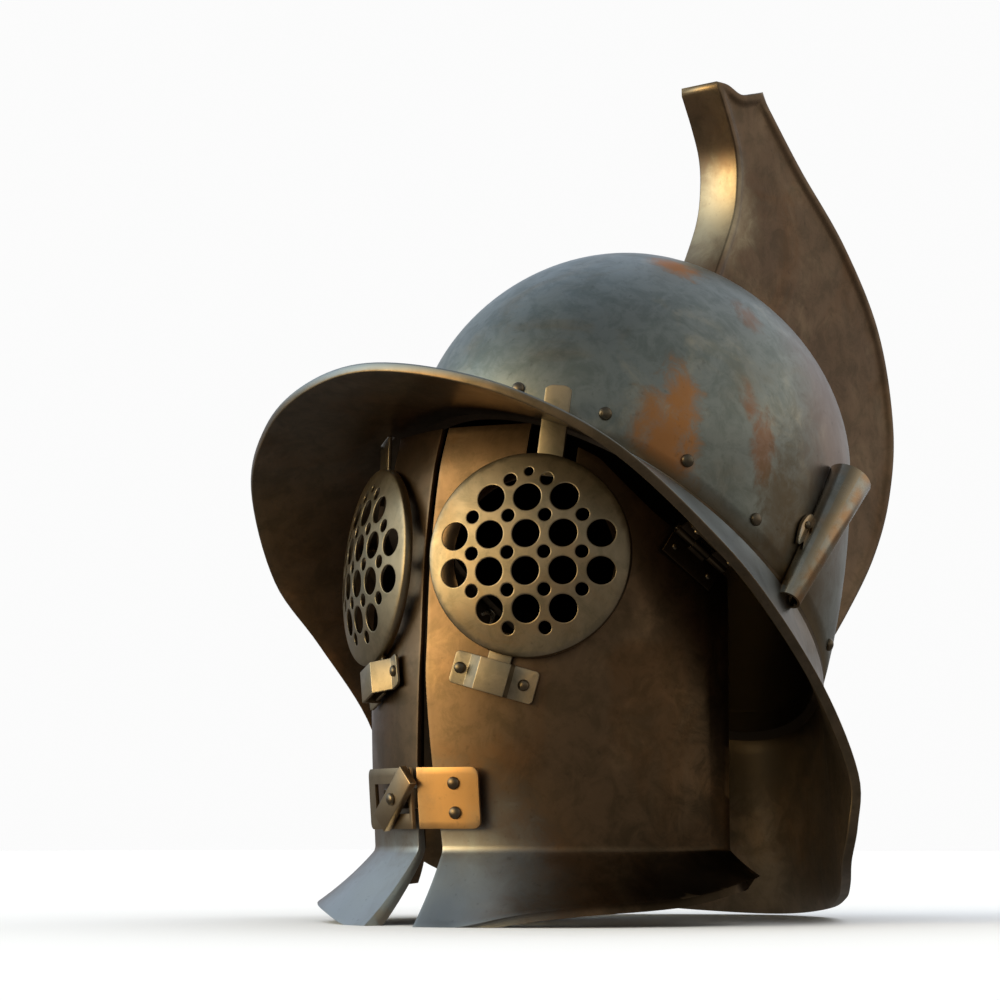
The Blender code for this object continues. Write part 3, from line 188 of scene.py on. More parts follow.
STRIP_WIDTH = 0.0135
STRIP_THICK = 0.0020
STRIP_LOW = (0.0075, 0.0400)
STRIP_HIGH = (0.0128, 0.0860)
STRIP_DEPTH = 0.0146
STRIP_ROOM = 0.0009
STRIP_NOTCH = 0.0060
STRIP_SLOT_UP = 0.034  # up the strip to the middle of its slot in the brim
STRIP_SLOT_REACH = 0.016
NOTCH_UP = 0.026  # up the strip to the middle of its notch in the visor
NOTCH_REACH = 0.030
NOTCH_DEPTH = 0.012

CLASP_LOW = 0.0472
CLASP_HIGH = 0.0774
CLASP_MIDDLE = (CLASP_LOW + CLASP_HIGH) / 2
CLASP_SHEET = 0.0020
CLASP_LIFT = 0.0056
CLASP_LEFT_REACH = 0.0305
CLASP_RIGHT_REACH = 0.0435
CLASP_CORNER = 0.0035
CLASP_STEPS = 26  # even ones, to where the rounded corners start
CLASP_EVEN = 0.86
CLASP_END_SHARES = (0.89, 0.915, 0.94, 0.96, 0.975, 0.988, 0.996, 1.0)
CLASP_ROWS = 8
SLIT_MARGIN = 0.004  # from the slit's edge to where the clasp starts to bridge it
CLASP_SLOT = (0.0016, 0.0375)
CLASP_SLOT_HEIGHT = 0.0150
BUTTON_AT = 0.0114
BUTTON_SHEET = 0.0040
BUTTON_CORNERS = ((0.0100, 0.0163), (0.0193, 0.0073))  # two of its four; the others lie opposite
BUTTON_HEAD = (  # radius, height
    (0.0030, BUTTON_SHEET - 0.0003),
    (0.0031, BUTTON_SHEET + 0.0004),
    (0.0029, 0.0053),
    (0.0023, 0.0058),
    (0.0013, 0.0061),
    (0.0, 0.0062),
)
POST_RADIUS = 0.0028
POST_TOP = 0.0010

RIVET_SIDES = 28
RIVET_SKIRT = 0.12  # straight share of a rivet head's height
RIVET_BENDS = (12, 26, 40, 54, 68, 80)  # degrees up the dome

TUBE_LOW = Vector((0.1064, -0.0120, 0.1645))
TUBE_MOUTH = Vector((0.1090, 0.0406, 0.2318))
TUBE_LOW_RADIUS = 0.0065
TUBE_MOUTH_RADIUS = 0.0120
TUBE_WALL = 0.0013
TUBE_SEGMENTS = 64
STRIPE_STEPS = 6  # spots along the copper stripe on each tube
MOST_RAGGED = 0.035  # how far the edge of a spot wanders, be it tarnish, painted shade or painted highlight
LUG_PLACE = 0.45  # along the tube
LUG_AHEAD = 0.0016
LUG_HALF_WIDTH = 0.0046
LUG_HALF_LENGTH = 0.0100
LUG_TAPER = 0.55
LUG_SHEET = 0.0018
LUG_SIDES = 48

# A dark painted shade, used on the helmet's inside, under the brim and on the visor's side in the brim's
# shadow.
PAINTED_SHADE = (0.035, 0.025, 0.015)
WORN = (0.42, 0.30, 0.17)
MOTTLE_TINT = (0.66, 0.70, 0.68)
STAIN_TINT = (1.0, 0.84, 0.68)
SPECK_TINT = (0.03, 0.022, 0.015)
# Dark tones that paint the brim's shadow on the hinge leaves.
HINGE_SHADE_TONES = ((0.05, 0.035, 0.022), (0.07, 0.05, 0.032), (0.10, 0.07, 0.045))
# A painted sky reflection: a pale blue-grey sheen on the brim's high faces that look up.
BRIM_SKY_SHEEN = (0.36, 0.39, 0.40)
SHADED_BRIM_PLACES = (  # painted shade inside the brim: x on both sides, y, z, reach
    (0.105, -0.005, 0.130, 0.080),
    (0.098, -0.055, 0.186, 0.050),
    (0.045, 0.085, 0.130, 0.050),
    (0.010, 0.100, 0.100, 0.070),
)
SKY_BANDS = (  # height in degrees, colour
    (-90.0, (0.13, 0.13, 0.13)),
    (-3.0, (0.16, 0.145, 0.125)),
    (3.0, (0.21, 0.20, 0.18)),
    (30.0, (0.31, 0.33, 0.33)),
    (90.0, (0.15, 0.17, 0.19)),
)
SKY_GLOWS = (  # bearing, height, tightness, colour
    (180.0, 15.0, 2.0, (0.31, 0.30, 0.30)),
    (-130.0, 38.0, 4.0, (0.18, 0.27, 0.44)),
    (130.0, 8.0, 4.0, (0.32, 0.29, 0.23)),
    (-50.0, 16.0, 12.0, (1.9, 2.3, 2.4)),
    (-22.0, 8.0, 18.0, (7.5, 5.6, 2.6)),
)
FLOOR_SUN = 2.3
SUN_WIDTH = 100.0  # degrees, so that shadows stay soft
BACKDROP = 0.97
FLOOR_HALF = 9.0

CAMERA_AT = Vector((1.0154, -1.2591, 0.0413))
CAMERA_WAY = Vector((-0.660, 0.7425, 0.1133))
CAMERA_FIELD = 18.985  # degrees


# Shapes shared by several pieces


def add_object(name, data):
    obj = bpy.data.objects.new(name, data)
    bpy.context.scene.collection.objects.link(obj)
    return obj


def mesh_object(name, points, faces, matrix=None):
    """A smooth mesh object whose faces all look outward, moved into the frame."""
    mesh = bpy.data.meshes.new(name)
    mesh.from_pydata([tuple(p) for p in points], [], faces)
    work = bmesh.new()
    work.from_mesh(mesh)
    bmesh.ops.recalc_face_normals(work, faces=work.faces)
    work.to_mesh(mesh)
    work.free()
    mesh.shade_smooth()
    place = matrix if matrix else Matrix.Identity(4)
    mesh.transform(Matrix.Translation(FRAME_SHIFT) @ place)
    return add_object(name, mesh)


def ease_edges(obj, width, segments=3, angle=40.0):
    """Rounds the sharp edges of a piece, as use and polishing do."""
    bevel = obj.modifiers.new("eased", "BEVEL")
    bevel.width = width
    bevel.segments = segments
    bevel.limit_method = "ANGLE"
    bevel.angle_limit = math.radians(angle)


def cut(obj, cutter, operation="DIFFERENCE"):
    """Takes a cutter out of a piece, or joins it."""
    cutter.hide_render = True
    boolean = obj.modifiers.new("cut", "BOOLEAN")
    boolean.operation = operation
    boolean.solver = "EXACT"
    boolean.object = cutter


def settle(obj, cutters=(), sharp=38.0):
    """Applies a piece's modifiers, removes the cutters and marks what stays sharp."""
    bpy.context.view_layer.update()
    graph = bpy.context.evaluated_depsgraph_get()
    mesh = bpy.data.meshes.new_from_object(obj.evaluated_get(graph))
    obj.modifiers.clear()
    obj.data = mesh
    mesh.shade_smooth()
    mesh.set_sharp_from_angle(angle=math.radians(sharp))
    for cutter in cutters:
        bpy.data.objects.remove(cutter, do_unlink=True)
    return obj


def ring_mesh(rings, loop=False):
    """Points and faces of a skin over closed rings. A ring of one point is a pole."""
    points = []
    spans = []
    for ring in rings:
        spans.append((len(points), len(ring)))
        points.extend(ring)
    faces = []
    pairs = list(zip(spans, spans[1:] + spans[:1])) if loop else list(zip(spans, spans[1:]))
    for (first, count), (second, other) in pairs:
        for i in range(max(count, other)):
            j = (i + 1) % max(count, other)
            if count == 1:
                faces.append((first, second + j, second + i))
            elif other == 1:
                faces.append((first + i, first + j, second))
            else:
                faces.append((first + i, first + j, second + j, second + i))
    return points, faces


def sheet_mesh(outer, inner):
    """Points and faces of a closed sheet between two grids of the same size."""
    rows, columns = len(outer), len(outer[0])
    points = [p for row in outer for p in row] + [p for row in inner for p in row]
    back = rows * columns
    faces = []
    for r in range(rows - 1):
        for c in range(columns - 1):
            quad = [r * columns + c, r * columns + c + 1, (r + 1) * columns + c + 1, (r + 1) * columns + c]
            faces.append(tuple(quad))
            faces.append(tuple(back + i for i in reversed(quad)))
    border = [(0, c) for c in range(columns)]
    border += [(r, columns - 1) for r in range(1, rows)]
    border += [(rows - 1, c) for c in range(columns - 2, -1, -1)]
    border += [(r, 0) for r in range(rows - 2, 0, -1)]
    ids = [r * columns + c for r, c in border]
    for a, b in zip(ids, ids[1:] + ids[:1]):
        faces.append((b, a, back + a, back + b))
    return points, faces


def prism_mesh(outline, low, high):
    count = len(outline)
    points = [(a, b, low) for a, b in outline] + [(a, b, high) for a, b in outline]
    faces = [tuple(range(count)), tuple(range(2 * count - 1, count - 1, -1))]
    faces += [(i, (i + 1) % count, count + (i + 1) % count, count + i) for i in range(count)]
    return points, faces


def box_mesh(half):
    outline = [(-half[0], -half[1]), (half[0], -half[1]), (half[0], half[1]), (-half[0], half[1])]
    return prism_mesh(outline, -half[2], half[2])


def tube_rings(radii_heights, segments):
    rings = []
    for radius, height in radii_heights:
        if radius == 0.0:
            rings.append([Vector((0.0, 0.0, height))])
            continue
        angles = [2 * math.pi * i / segments for i in range(segments)]
        rings.append([Vector((radius * math.cos(a), radius * math.sin(a), height)) for a in angles])
    return rings


def frame_at(origin, normal, along):
    """A matrix with its Z axis on normal, and its X axis as near along as it can be."""
    z = normal.normalized()
    x = (along - along.dot(z) * z).normalized()
    y = z.cross(x)
    matrix = Matrix((x, y, z)).transposed().to_4x4()
    matrix.translation = origin
    return matrix


def sided(side, vector):
    """A point of the left side, taken to the right side where side is -1."""
    return Vector((side * vector.x, vector.y, vector.z))


def to_side(side, matrix):
    """A frame of the left side, mirrored to the right side where side is -1."""
    if side > 0:
        return matrix
    flip = Matrix.Diagonal((-1.0, 1.0, 1.0, 1.0))
    return flip @ matrix @ flip


def last_where(low, high, holds):
    """The last place from low to high where a test still holds, by halving."""
    for _ in range(30):
        middle = (low + high) / 2
        if holds(middle):
            low = middle
        else:
            high = middle
    return low


def smooth_value(keys, values, x):
    """A smooth curve through a table's points, whose slope at each point is that of its neighbours."""
    keys, values = list(keys), list(values)
    if keys[0] > keys[-1]:
        keys, values = keys[::-1], values[::-1]
    x = min(max(x, keys[0]), keys[-1])
    slot = min(max(int(np.searchsorted(keys, x)) - 1, 0), len(keys) - 2)

    def slope(i):
        low, high = max(i - 1, 0), min(i + 1, len(keys) - 1)
        return (values[high] - values[low]) / (keys[high] - keys[low])

    width = keys[slot + 1] - keys[slot]
    t = (x - keys[slot]) / width
    cube, square = t**3, t**2
    return (
        (2 * cube - 3 * square + 1) * values[slot]
        + (cube - 2 * square + t) * width * slope(slot)
        + (3 * square - 2 * cube) * values[slot + 1]
        + (cube - square) * width * slope(slot + 1)
    )


def table_value(rows, columns, column, place):
    """A smooth curve through one named column of a table, whose first column gives the places."""
    return smooth_value([row[0] for row in rows], [row[columns.index(column)] for row in rows], place)


def smooth_outline(points, step):
    """A curve through the points, sampled at about one step of length."""
    points = [Vector(p) for p in points]
    line = []
    for i in range(len(points) - 1):
        p0, p1 = points[max(i - 1, 0)], points[i]
        p2, p3 = points[i + 1], points[min(i + 2, len(points) - 1)]
        count = max(1, round((p2 - p1).length / step))
        for k in range(count):
            t = k / count
            line.append(
                0.5
                * (
                    2 * p1
                    + (p2 - p0) * t
                    + (2 * p0 - 5 * p1 + 4 * p2 - p3) * t**2
                    + (3 * p1 - 3 * p2 + p3 - p0) * t**3
                )
            )
    return line + [points[-1]]


# Bowl and brim


def bowl_axes(below, inset=0.0):
    height = BOWL_DROP if below else BOWL_RISE
    return BOWL_HALF_WIDTH - inset, BOWL_HALF_LENGTH - inset, height - inset


def bowl_point(bearing, polar, inset=0.0):
    """A point of the bowl: bearing round it from the face, polar angle down from the crown."""
    side = math.sin(polar) ** (2 / BOWL_POWER)
    level = math.copysign(abs(math.cos(polar)) ** (2 / BOWL_POWER), math.cos(polar))
    width, length, height = bowl_axes(level < 0, inset)
    return BOWL_CENTRE + Vector(
        (width * side * math.sin(bearing), -length * side * math.cos(bearing), height * level)
    )


def seam_polar(bearing, inset=0.0, shift=0.0):
    """The polar angle at which the bowl meets the seam plane, or a plane shifted up from it."""

    def above(polar):
        point = bowl_point(bearing, polar, inset)
        return point.z - (SEAM_HEIGHT - SEAM_FALL * point.y) > shift

    return last_where(0.3, math.pi * 0.9, above)


def bowl_normal(point):
    offset = point - BOWL_CENTRE
    width, length, height = bowl_axes(offset.z < 0)
    level = math.hypot(offset.x / width, offset.y / length)
    across = level ** (BOWL_POWER - 2)
    up = (abs(offset.z) / height) ** (BOWL_POWER - 1) / height
    return Vector(
        (across * offset.x / width**2, across * offset.y / length**2, math.copysign(up, offset.z))
    ).normalized()


def bowl_surface(point):
    """The bowl's outer surface on the line from its middle through a point."""
    offset = point - BOWL_CENTRE
    width, length, height = bowl_axes(offset.z < 0)
    level = math.hypot(offset.x / width, offset.y / length)
    reach = (level**BOWL_POWER + (abs(offset.z) / height) ** BOWL_POWER) ** (1 / BOWL_POWER)
    return BOWL_CENTRE + offset / reach


def bowl_rings(inset):
    bearings = [2 * math.pi * i / BOWL_COLUMNS for i in range(BOWL_COLUMNS)]
    ends = [seam_polar(b, inset) for b in bearings]
    rings = [[bowl_point(0.0, 0.0, inset)]]
    for row in range(1, BOWL_ROWS + 1):
        rings.append([bowl_point(b, end * row / BOWL_ROWS, inset) for b, end in zip(bearings, ends)])
    return rings


def make_bowl():
    return mesh_object("bowl_skin", *ring_mesh(bowl_rings(0.0) + bowl_rings(BOWL_WALL)[::-1]))


def brim_value(column, bearing):
    """Reads the brim's table, which is mirrored at the face and the nape."""
    keys = [row[0] for row in BRIM_ROWS]
    values = [row[BRIM_COLUMNS.index(column)] for row in BRIM_ROWS]
    sign = -1.0 if column == "x" else 1.0
    keys = [-k for k in keys[3:0:-1]] + keys + [360.0 - k for k in keys[-2:-5:-1]]
    values = [sign * v for v in values[3:0:-1]] + values + [sign * v for v in values[-2:-5:-1]]
    return smooth_value(keys, values, bearing)


def brim_line(bearing, inset):
    """The middle line of the brim's flare, from the seam to the edge."""
    folded = bearing if bearing <= 180 else 360 - bearing
    side = 1 if bearing <= 180 else -1
    angle = math.radians(bearing)
    start = bowl_point(angle, seam_polar(angle, inset, -GAP - BRIM_WALL / 2), inset)
    end = sided(side, Vector([brim_value(column, folded) for column in ("x", "y", "z")]))
    way = end - start
    out, down = brim_value("out", folded), brim_value("down", folded)
    control = start + Vector((way.x * out, way.y * out, way.z * down))
    shares = [step / BRIM_STEPS for step in range(BRIM_STEPS + 1)]
    return [(1 - t) ** 2 * start + 2 * t * (1 - t) * control + t**2 * end for t in shares]


def brim_profiles():
    """For each bearing: collar, upper side, rounded rim and underside of the brim."""
    bearings = [360.0 * i / BRIM_TURNS for i in range(BRIM_TURNS)]
    lines = [brim_line(b, BOWL_WALL / 2) for b in bearings]
    profiles = []
    collar_out = BOWL_WALL + COLLAR_GAP
    collar_in = collar_out + BRIM_WALL
    for i, (bearing, line) in enumerate(zip(bearings, lines)):
        before, after = lines[i - 1], lines[(i + 1) % BRIM_TURNS]
        angle = math.radians(bearing)
        top, under = [], []
        for k, point in enumerate(line):
            along = line[min(k + 1, BRIM_STEPS)] - line[max(k - 1, 0)]
            up = (after[k] - before[k]).cross(along).normalized()
            half = BRIM_WALL / 2 + (BRIM_EDGE - BRIM_WALL) / 2 * (k / BRIM_STEPS) ** 4
            top.append(point + up * half)
            under.append(point - up * half)
        under[0] = bowl_point(angle, seam_polar(angle, collar_in, -GAP - BRIM_WALL), collar_in)
        top[0] = bowl_point(angle, seam_polar(angle, 0.0, -GAP), 0.0)
        out = (line[-1] - line[-2]).normalized() * BRIM_LIP
        rim = []
        for turn in RIM_TURNS:
            bend = math.radians(turn)
            lift = math.copysign(abs(math.sin(bend)) ** RIM_POWER, turn) if turn else 0.0
            rim.append(line[-1] + out * math.cos(bend) ** RIM_POWER + (top[-1] - line[-1]) * lift)
        collar = [
            bowl_point(angle, seam_polar(angle, collar_in, COLLAR_RISE), collar_in),
            bowl_point(angle, seam_polar(angle, collar_out, COLLAR_RISE), collar_out),
            bowl_point(angle, seam_polar(angle, collar_out, -GAP), collar_out),
        ]
        profiles.append(collar + top + rim + under[::-1])
    return profiles


def make_brim():
    rings = [list(ring) for ring in zip(*brim_profiles())]
    brim = mesh_object("brim_skin", *ring_mesh(rings, loop=True))
    cutters = []
    for side in (1, -1):
        room = (STRIP_WIDTH / 2 + STRIP_ROOM, STRIP_SLOT_REACH, STRIP_THICK / 2 + STRIP_ROOM)
        cutter = mesh_object("strip_slot", *box_mesh(room), strip_matrix(side, STRIP_SLOT_UP))
        cut(brim, cutter)
        cutters.append(cutter)
    return settle(brim, cutters)


# Crest


def in_bowl(point, sink):
    """Whether a point of the middle plane lies deeper than sink in the bowl."""
    here = Vector((0.0, point.x, point.y))
    return (here - BOWL_CENTRE).length < (bowl_surface(here) - BOWL_CENTRE).length - sink


def crest_outline():
    """The fin's side outline in the middle plane, closed along the bowl: front, top, rear, base."""
    front = [p for p in smooth_outline(CREST_FRONT, CREST_STEP) if not in_bowl(p, CREST_SINK)]
    top = smooth_outline(CREST_TOP, CREST_STEP)
    rear = [p for p in smooth_outline(CREST_REAR, CREST_STEP) if not in_bowl(p, CREST_SINK)]
    base = []
    polars = np.linspace(-math.pi, math.pi, 720)
    for polar in polars:
        bearing = 0.0 if polar < 0 else math.pi
        point = bowl_point(bearing, abs(polar), CREST_SINK)
        base.append(Vector((point.y, point.z)))
    first = min(range(len(base)), key=lambda i: (base[i] - front[0]).length)
    last = min(range(len(base)), key=lambda i: (base[i] - rear[-1]).length)
    step = max(1, (last - first) // 90)
    return front + top + rear + base[last:first:-step]


def distance_to(outline, point):
    """Distance from a point to the nearest place on a closed outline, given as arrays."""
    start, way, square = outline
    offset = point - start
    share = np.clip((offset * way).sum(1) / square, 0.0, 1.0)
    gap = offset - way * share[:, None]
    return math.sqrt((gap**2).sum(1).min())


def panel_height(distance):
    """How far the fin's side lies inside its full half width, by distance from the outline."""
    if distance < CREST_EDGE_ROUND:
        rest = 1 - distance / CREST_EDGE_ROUND
        return CREST_EDGE_ROUND * (1 - math.sqrt(max(0.0, 1 - rest**2)))
    if distance < CREST_BEAD:
        return 0.0
    share = min(1.0, (distance - CREST_BEAD) / CREST_FILLET)
    return CREST_RECESS * share**2 * (3 - 2 * share)


def make_crest():
    """Two dished sides with a bead round them, joined by a flat band with rounded corners."""
    outline = crest_outline()
    count = len(outline)
    flat = np.array([tuple(p) for p in outline])
    way = np.roll(flat, -1, axis=0) - flat
    arrays = (flat, way, (way**2).sum(1) + 1e-18)
    places = list(outline)
    for offset in CREST_RINGS:
        for i, point in enumerate(outline):
            along = (outline[(i + 1) % count] - outline[i - 1]).normalized()
            moved = point + Vector((along.y, -along.x)) * offset
            if distance_to(arrays, np.array(moved)) > offset * 0.97:
                places.append(moved)
    low, high = flat.min(0), flat.max(0)
    for y in np.arange(low[0], high[0], CREST_GRID):
        for z in np.arange(low[1], high[1], CREST_GRID):
            if distance_to(arrays, np.array((y, z))) > CREST_INNER:
                places.append(Vector((y, z)))
    edges = [(i, (i + 1) % count) for i in range(count)]
    flat_points, _, triangles = delaunay_2d_cdt(places, edges, [], 1, 1e-7)[:3]
    heights = [panel_height(distance_to(arrays, np.array(p))) for p in flat_points]
    points, faces = [], []
    total = len(flat_points)
    for sign in (1, -1):
        points += [(sign * (CREST_HALF_WIDTH - h), p.x, p.y) for p, h in zip(flat_points, heights)]
    faces += [tuple(t) for t in triangles]
    faces += [tuple(total + i for i in reversed(t)) for t in triangles]
    faces += [(a, b, total + b, total + a) for a, b in edges]
    return settle(mesh_object("crest_fin", points, faces), sharp=60.0)


# Visor


def visor_value(column, height):
    return table_value(VISOR_ROWS, VISOR_COLUMNS, column, height)


def visor_point(station, height):
    """A point on the left half's outer face: station 0 at the slit, 1 at the temple corner."""
    p0 = Vector((visor_value("x", height), visor_value("y", height)))
    lean = Vector((0.0, p0.y - VISOR_PROW))
    p1, p2 = Vector(VISOR_CHEEK[0]) + lean, Vector(VISOR_CHEEK[1]) + lean / 2
    p3 = Vector(VISOR_CORNER)
    t = min(station, 1.0)
    plan = (1 - t) ** 3 * p0 + 3 * t * (1 - t) ** 2 * p1 + 3 * t**2 * (1 - t) * p2 + t**3 * p3
    if station > 1.0:
        plan = p3.lerp(Vector(VISOR_RETURN), (station - 1.0) / 0.1)
    return Vector((plan.x, plan.y, height))


def visor_normal(station, height):
    step = 0.01
    low, high = max(station - step, 0.0), min(station + step, 1.1)
    along = visor_point(high, height) - visor_point(low, height)
    up = visor_point(station, height + step) - visor_point(station, height - step)
    return along.cross(up).normalized()


def visor_station(x, height):
    return last_where(0.0, 1.0, lambda station: visor_point(station, height).x < x)


def visor_top(station):
    return float(np.interp(station, [row[0] for row in VISOR_TOP], [row[1] for row in VISOR_TOP]))


def foot_value(column, station):
    return table_value(FOOT_ROWS, FOOT_COLUMNS, column, station)


def foot_point(station, share):
    """A point of the flared foot, share 0 at the crease and 1 at its lower edge."""
    start = visor_point(station, CREASE_HEIGHT)
    normal = visor_normal(station, CREASE_HEIGHT + 0.01)
    bearing = math.atan2(normal.y, normal.x) + math.radians(foot_value("turn", station))
    out = Vector((math.cos(bearing), math.sin(bearing), 0.0))
    way = foot_value("out", station) * ((1 - FOOT_BOW) * share + FOOT_BOW * share**2)
    drop = foot_value("down", station) * ((1 + FOOT_SAG) * share - FOOT_SAG * share**2)
    spot = start + out * way
    return Vector((spot.x, spot.y, max(spot.z - drop, 0.0)))


def visor_column(station):
    """(point, wall) down one column: the cheek, the rounded crease and the foot."""
    top = visor_top(station)
    column = []
    for level in range(VISOR_LEVELS + 1):
        height = top + (CREASE_HEIGHT + CREASE_ROUND - top) * level / VISOR_LEVELS
        swell = max(0.0, 1 - (height - CREASE_HEIGHT) / CREASE_SWELL)
        column.append((visor_point(station, height), VISOR_WALL + (CREASE_WALL - VISOR_WALL) * swell))
    corner = visor_point(station, CREASE_HEIGHT)
    share = CREASE_ROUND / FOOT_LENGTH
    below = foot_point(station, share)
    above = column[-1][0]
    for t in (0.25, 0.5, 0.75):
        point = (1 - t) ** 2 * above + 2 * t * (1 - t) * corner + t**2 * below
        column.append((point, CREASE_WALL))
    for step in range(FOOT_STEPS + 1):
        here = share + (1 - share) * step / FOOT_STEPS
        column.append((foot_point(station, here), CREASE_WALL + (FOOT_WALL - CREASE_WALL) * here))
    return column


def make_visor(side, word):
    stations = [i / VISOR_STATIONS for i in range(VISOR_STATIONS + 1)] + [1.012, 1.035, 1.065, 1.1]
    columns = [visor_column(s) for s in stations]
    rows = len(columns[0])
    outer = [[columns[c][r][0] for c in range(len(stations))] for r in range(rows)]
    inner = []
    for r in range(rows):
        row = []
        for c in range(len(stations)):
            along = outer[r][min(c + 1, len(stations) - 1)] - outer[r][max(c - 1, 0)]
            up = outer[max(r - 1, 0)][c] - outer[min(r + 1, rows - 1)][c]
            normal = along.cross(up).normalized()
            if r == rows - 1:
                normal = Vector((normal.x, normal.y, 0.0)).normalized()
            spot = outer[r][c] - normal * columns[c][r][1]
            row.append(Vector((spot.x, spot.y, max(spot.z, 0.0))))
        inner.append(row)
    points, faces = sheet_mesh(outer, inner)
    visor = mesh_object("visor_skin_" + word, [sided(side, p) for p in points], faces)
    ease_edges(visor, 0.0006, 3, 55.0)
    deep, high = EYE_CUT
    eye = ring_mesh(tube_rings([(0.0, deep), (EYE_HOLE, deep), (EYE_HOLE, high), (0.0, high)], DISC_SEGMENTS))
    hole = mesh_object("eye_hole", *eye, disc_matrix(side))
    cut(visor, hole)
    room = box_mesh((STRIP_WIDTH / 2 + STRIP_NOTCH, NOTCH_REACH, NOTCH_DEPTH))
    notch = mesh_object("strip_notch", *room, strip_matrix(side, NOTCH_UP))
    cut(visor, notch)
    return settle(visor, [hole, notch])


# Eye discs and brow strips


def disc_axis(side):
    bearing, tilt = math.radians(DISC_BEARING), math.radians(DISC_TILT)
    normal = Vector(
        (math.sin(bearing) * math.cos(tilt), -math.cos(bearing) * math.cos(tilt), math.sin(tilt))
    )
    across = Vector((math.cos(bearing), math.sin(bearing), 0.0))
    return sided(side, DISC_TOP), sided(side, normal), sided(side, across)


def disc_matrix(side):
    """Local Z on the disc's axis, local Y up the disc, with the crown at the origin."""
    origin, normal, across = disc_axis(side)
    up = normal.cross(across) if side > 0 else across.cross(normal)
    matrix = Matrix((up.cross(normal), up, normal)).transposed().to_4x4()
    matrix.translation = origin
    return matrix


def disc_point(side, across, up, depth):
    return disc_matrix(side) @ Vector((side * across, up, depth))


def dome_drop(radius):
    return radius**2 / (2 * DISC_DOME_RADIUS)


def hole_list():
    """(across, up, radius) of every hole of a disc, in rows of the lattice."""
    holes = []
    for row, half in ((1.5, 1.0), (0.5, 2.0), (-0.5, 2.0), (-1.5, 1.0)):
        for i in range(int(2 * half) + 1):
            holes.append(((i - half) * HOLE_PITCH, row * HOLE_PITCH, HOLE_BIG))
    for row, half in ((2.0, 0.5), (1.0, 1.5), (0.0, 1.5), (-1.0, 1.5), (-2.0, 0.5)):
        for i in range(int(2 * half) + 1):
            holes.append(((i - half) * HOLE_PITCH, row * HOLE_PITCH, HOLE_SMALL))
    holes.append((0.0, 2.22 * HOLE_PITCH, HOLE_TINY))
    return holes


def circle(across, up, radius, sides):
    angles = [2 * math.pi * i / sides for i in range(sides)]
    return [Vector((across + radius * math.cos(a), up + radius * math.sin(a))) for a in angles]


def plate_layout(side, ease):
    """Flat points, hole loops and triangles of a disc whose holes are widened by ease."""
    edge = DISC_RADIUS - 0.0006
    loops = [circle(0.0, 0.0, edge, DISC_SEGMENTS)]
    holes = hole_list()
    for across, up, radius in holes:
        loops.append(circle(side * across, up, radius + ease, HOLE_SIDES[radius]))
    flat, edges = [], []
    for loop in loops:
        start = len(flat)
        flat += loop
        edges += [(start + i, start + (i + 1) % len(loop)) for i in range(len(loop))]
    for across, up, radius in holes:
        flat += circle(side * across, up, radius + ease + HOLE_EASE, HOLE_SIDES[radius])
    for x in np.arange(-edge, edge, DISC_GRID):
        for y in np.arange(-edge, edge, DISC_GRID):
            clear = all(math.hypot(x - side * a, y - u) > r + ease + DISC_CLEAR for a, u, r in holes)
            if math.hypot(x, y) < edge - DISC_CLEAR and clear:
                flat.append(Vector((x, y)))
    triangles = delaunay_2d_cdt(flat, edges, [], 1, 1e-7)[2]
    kept = []
    for triangle in triangles:
        middle = sum((flat[i] for i in triangle), Vector((0.0, 0.0))) / 3
        if all(math.hypot(middle.x - side * a, middle.y - u) > r + ease for a, u, r in holes):
            kept.append(tuple(triangle))
    return flat, loops, kept


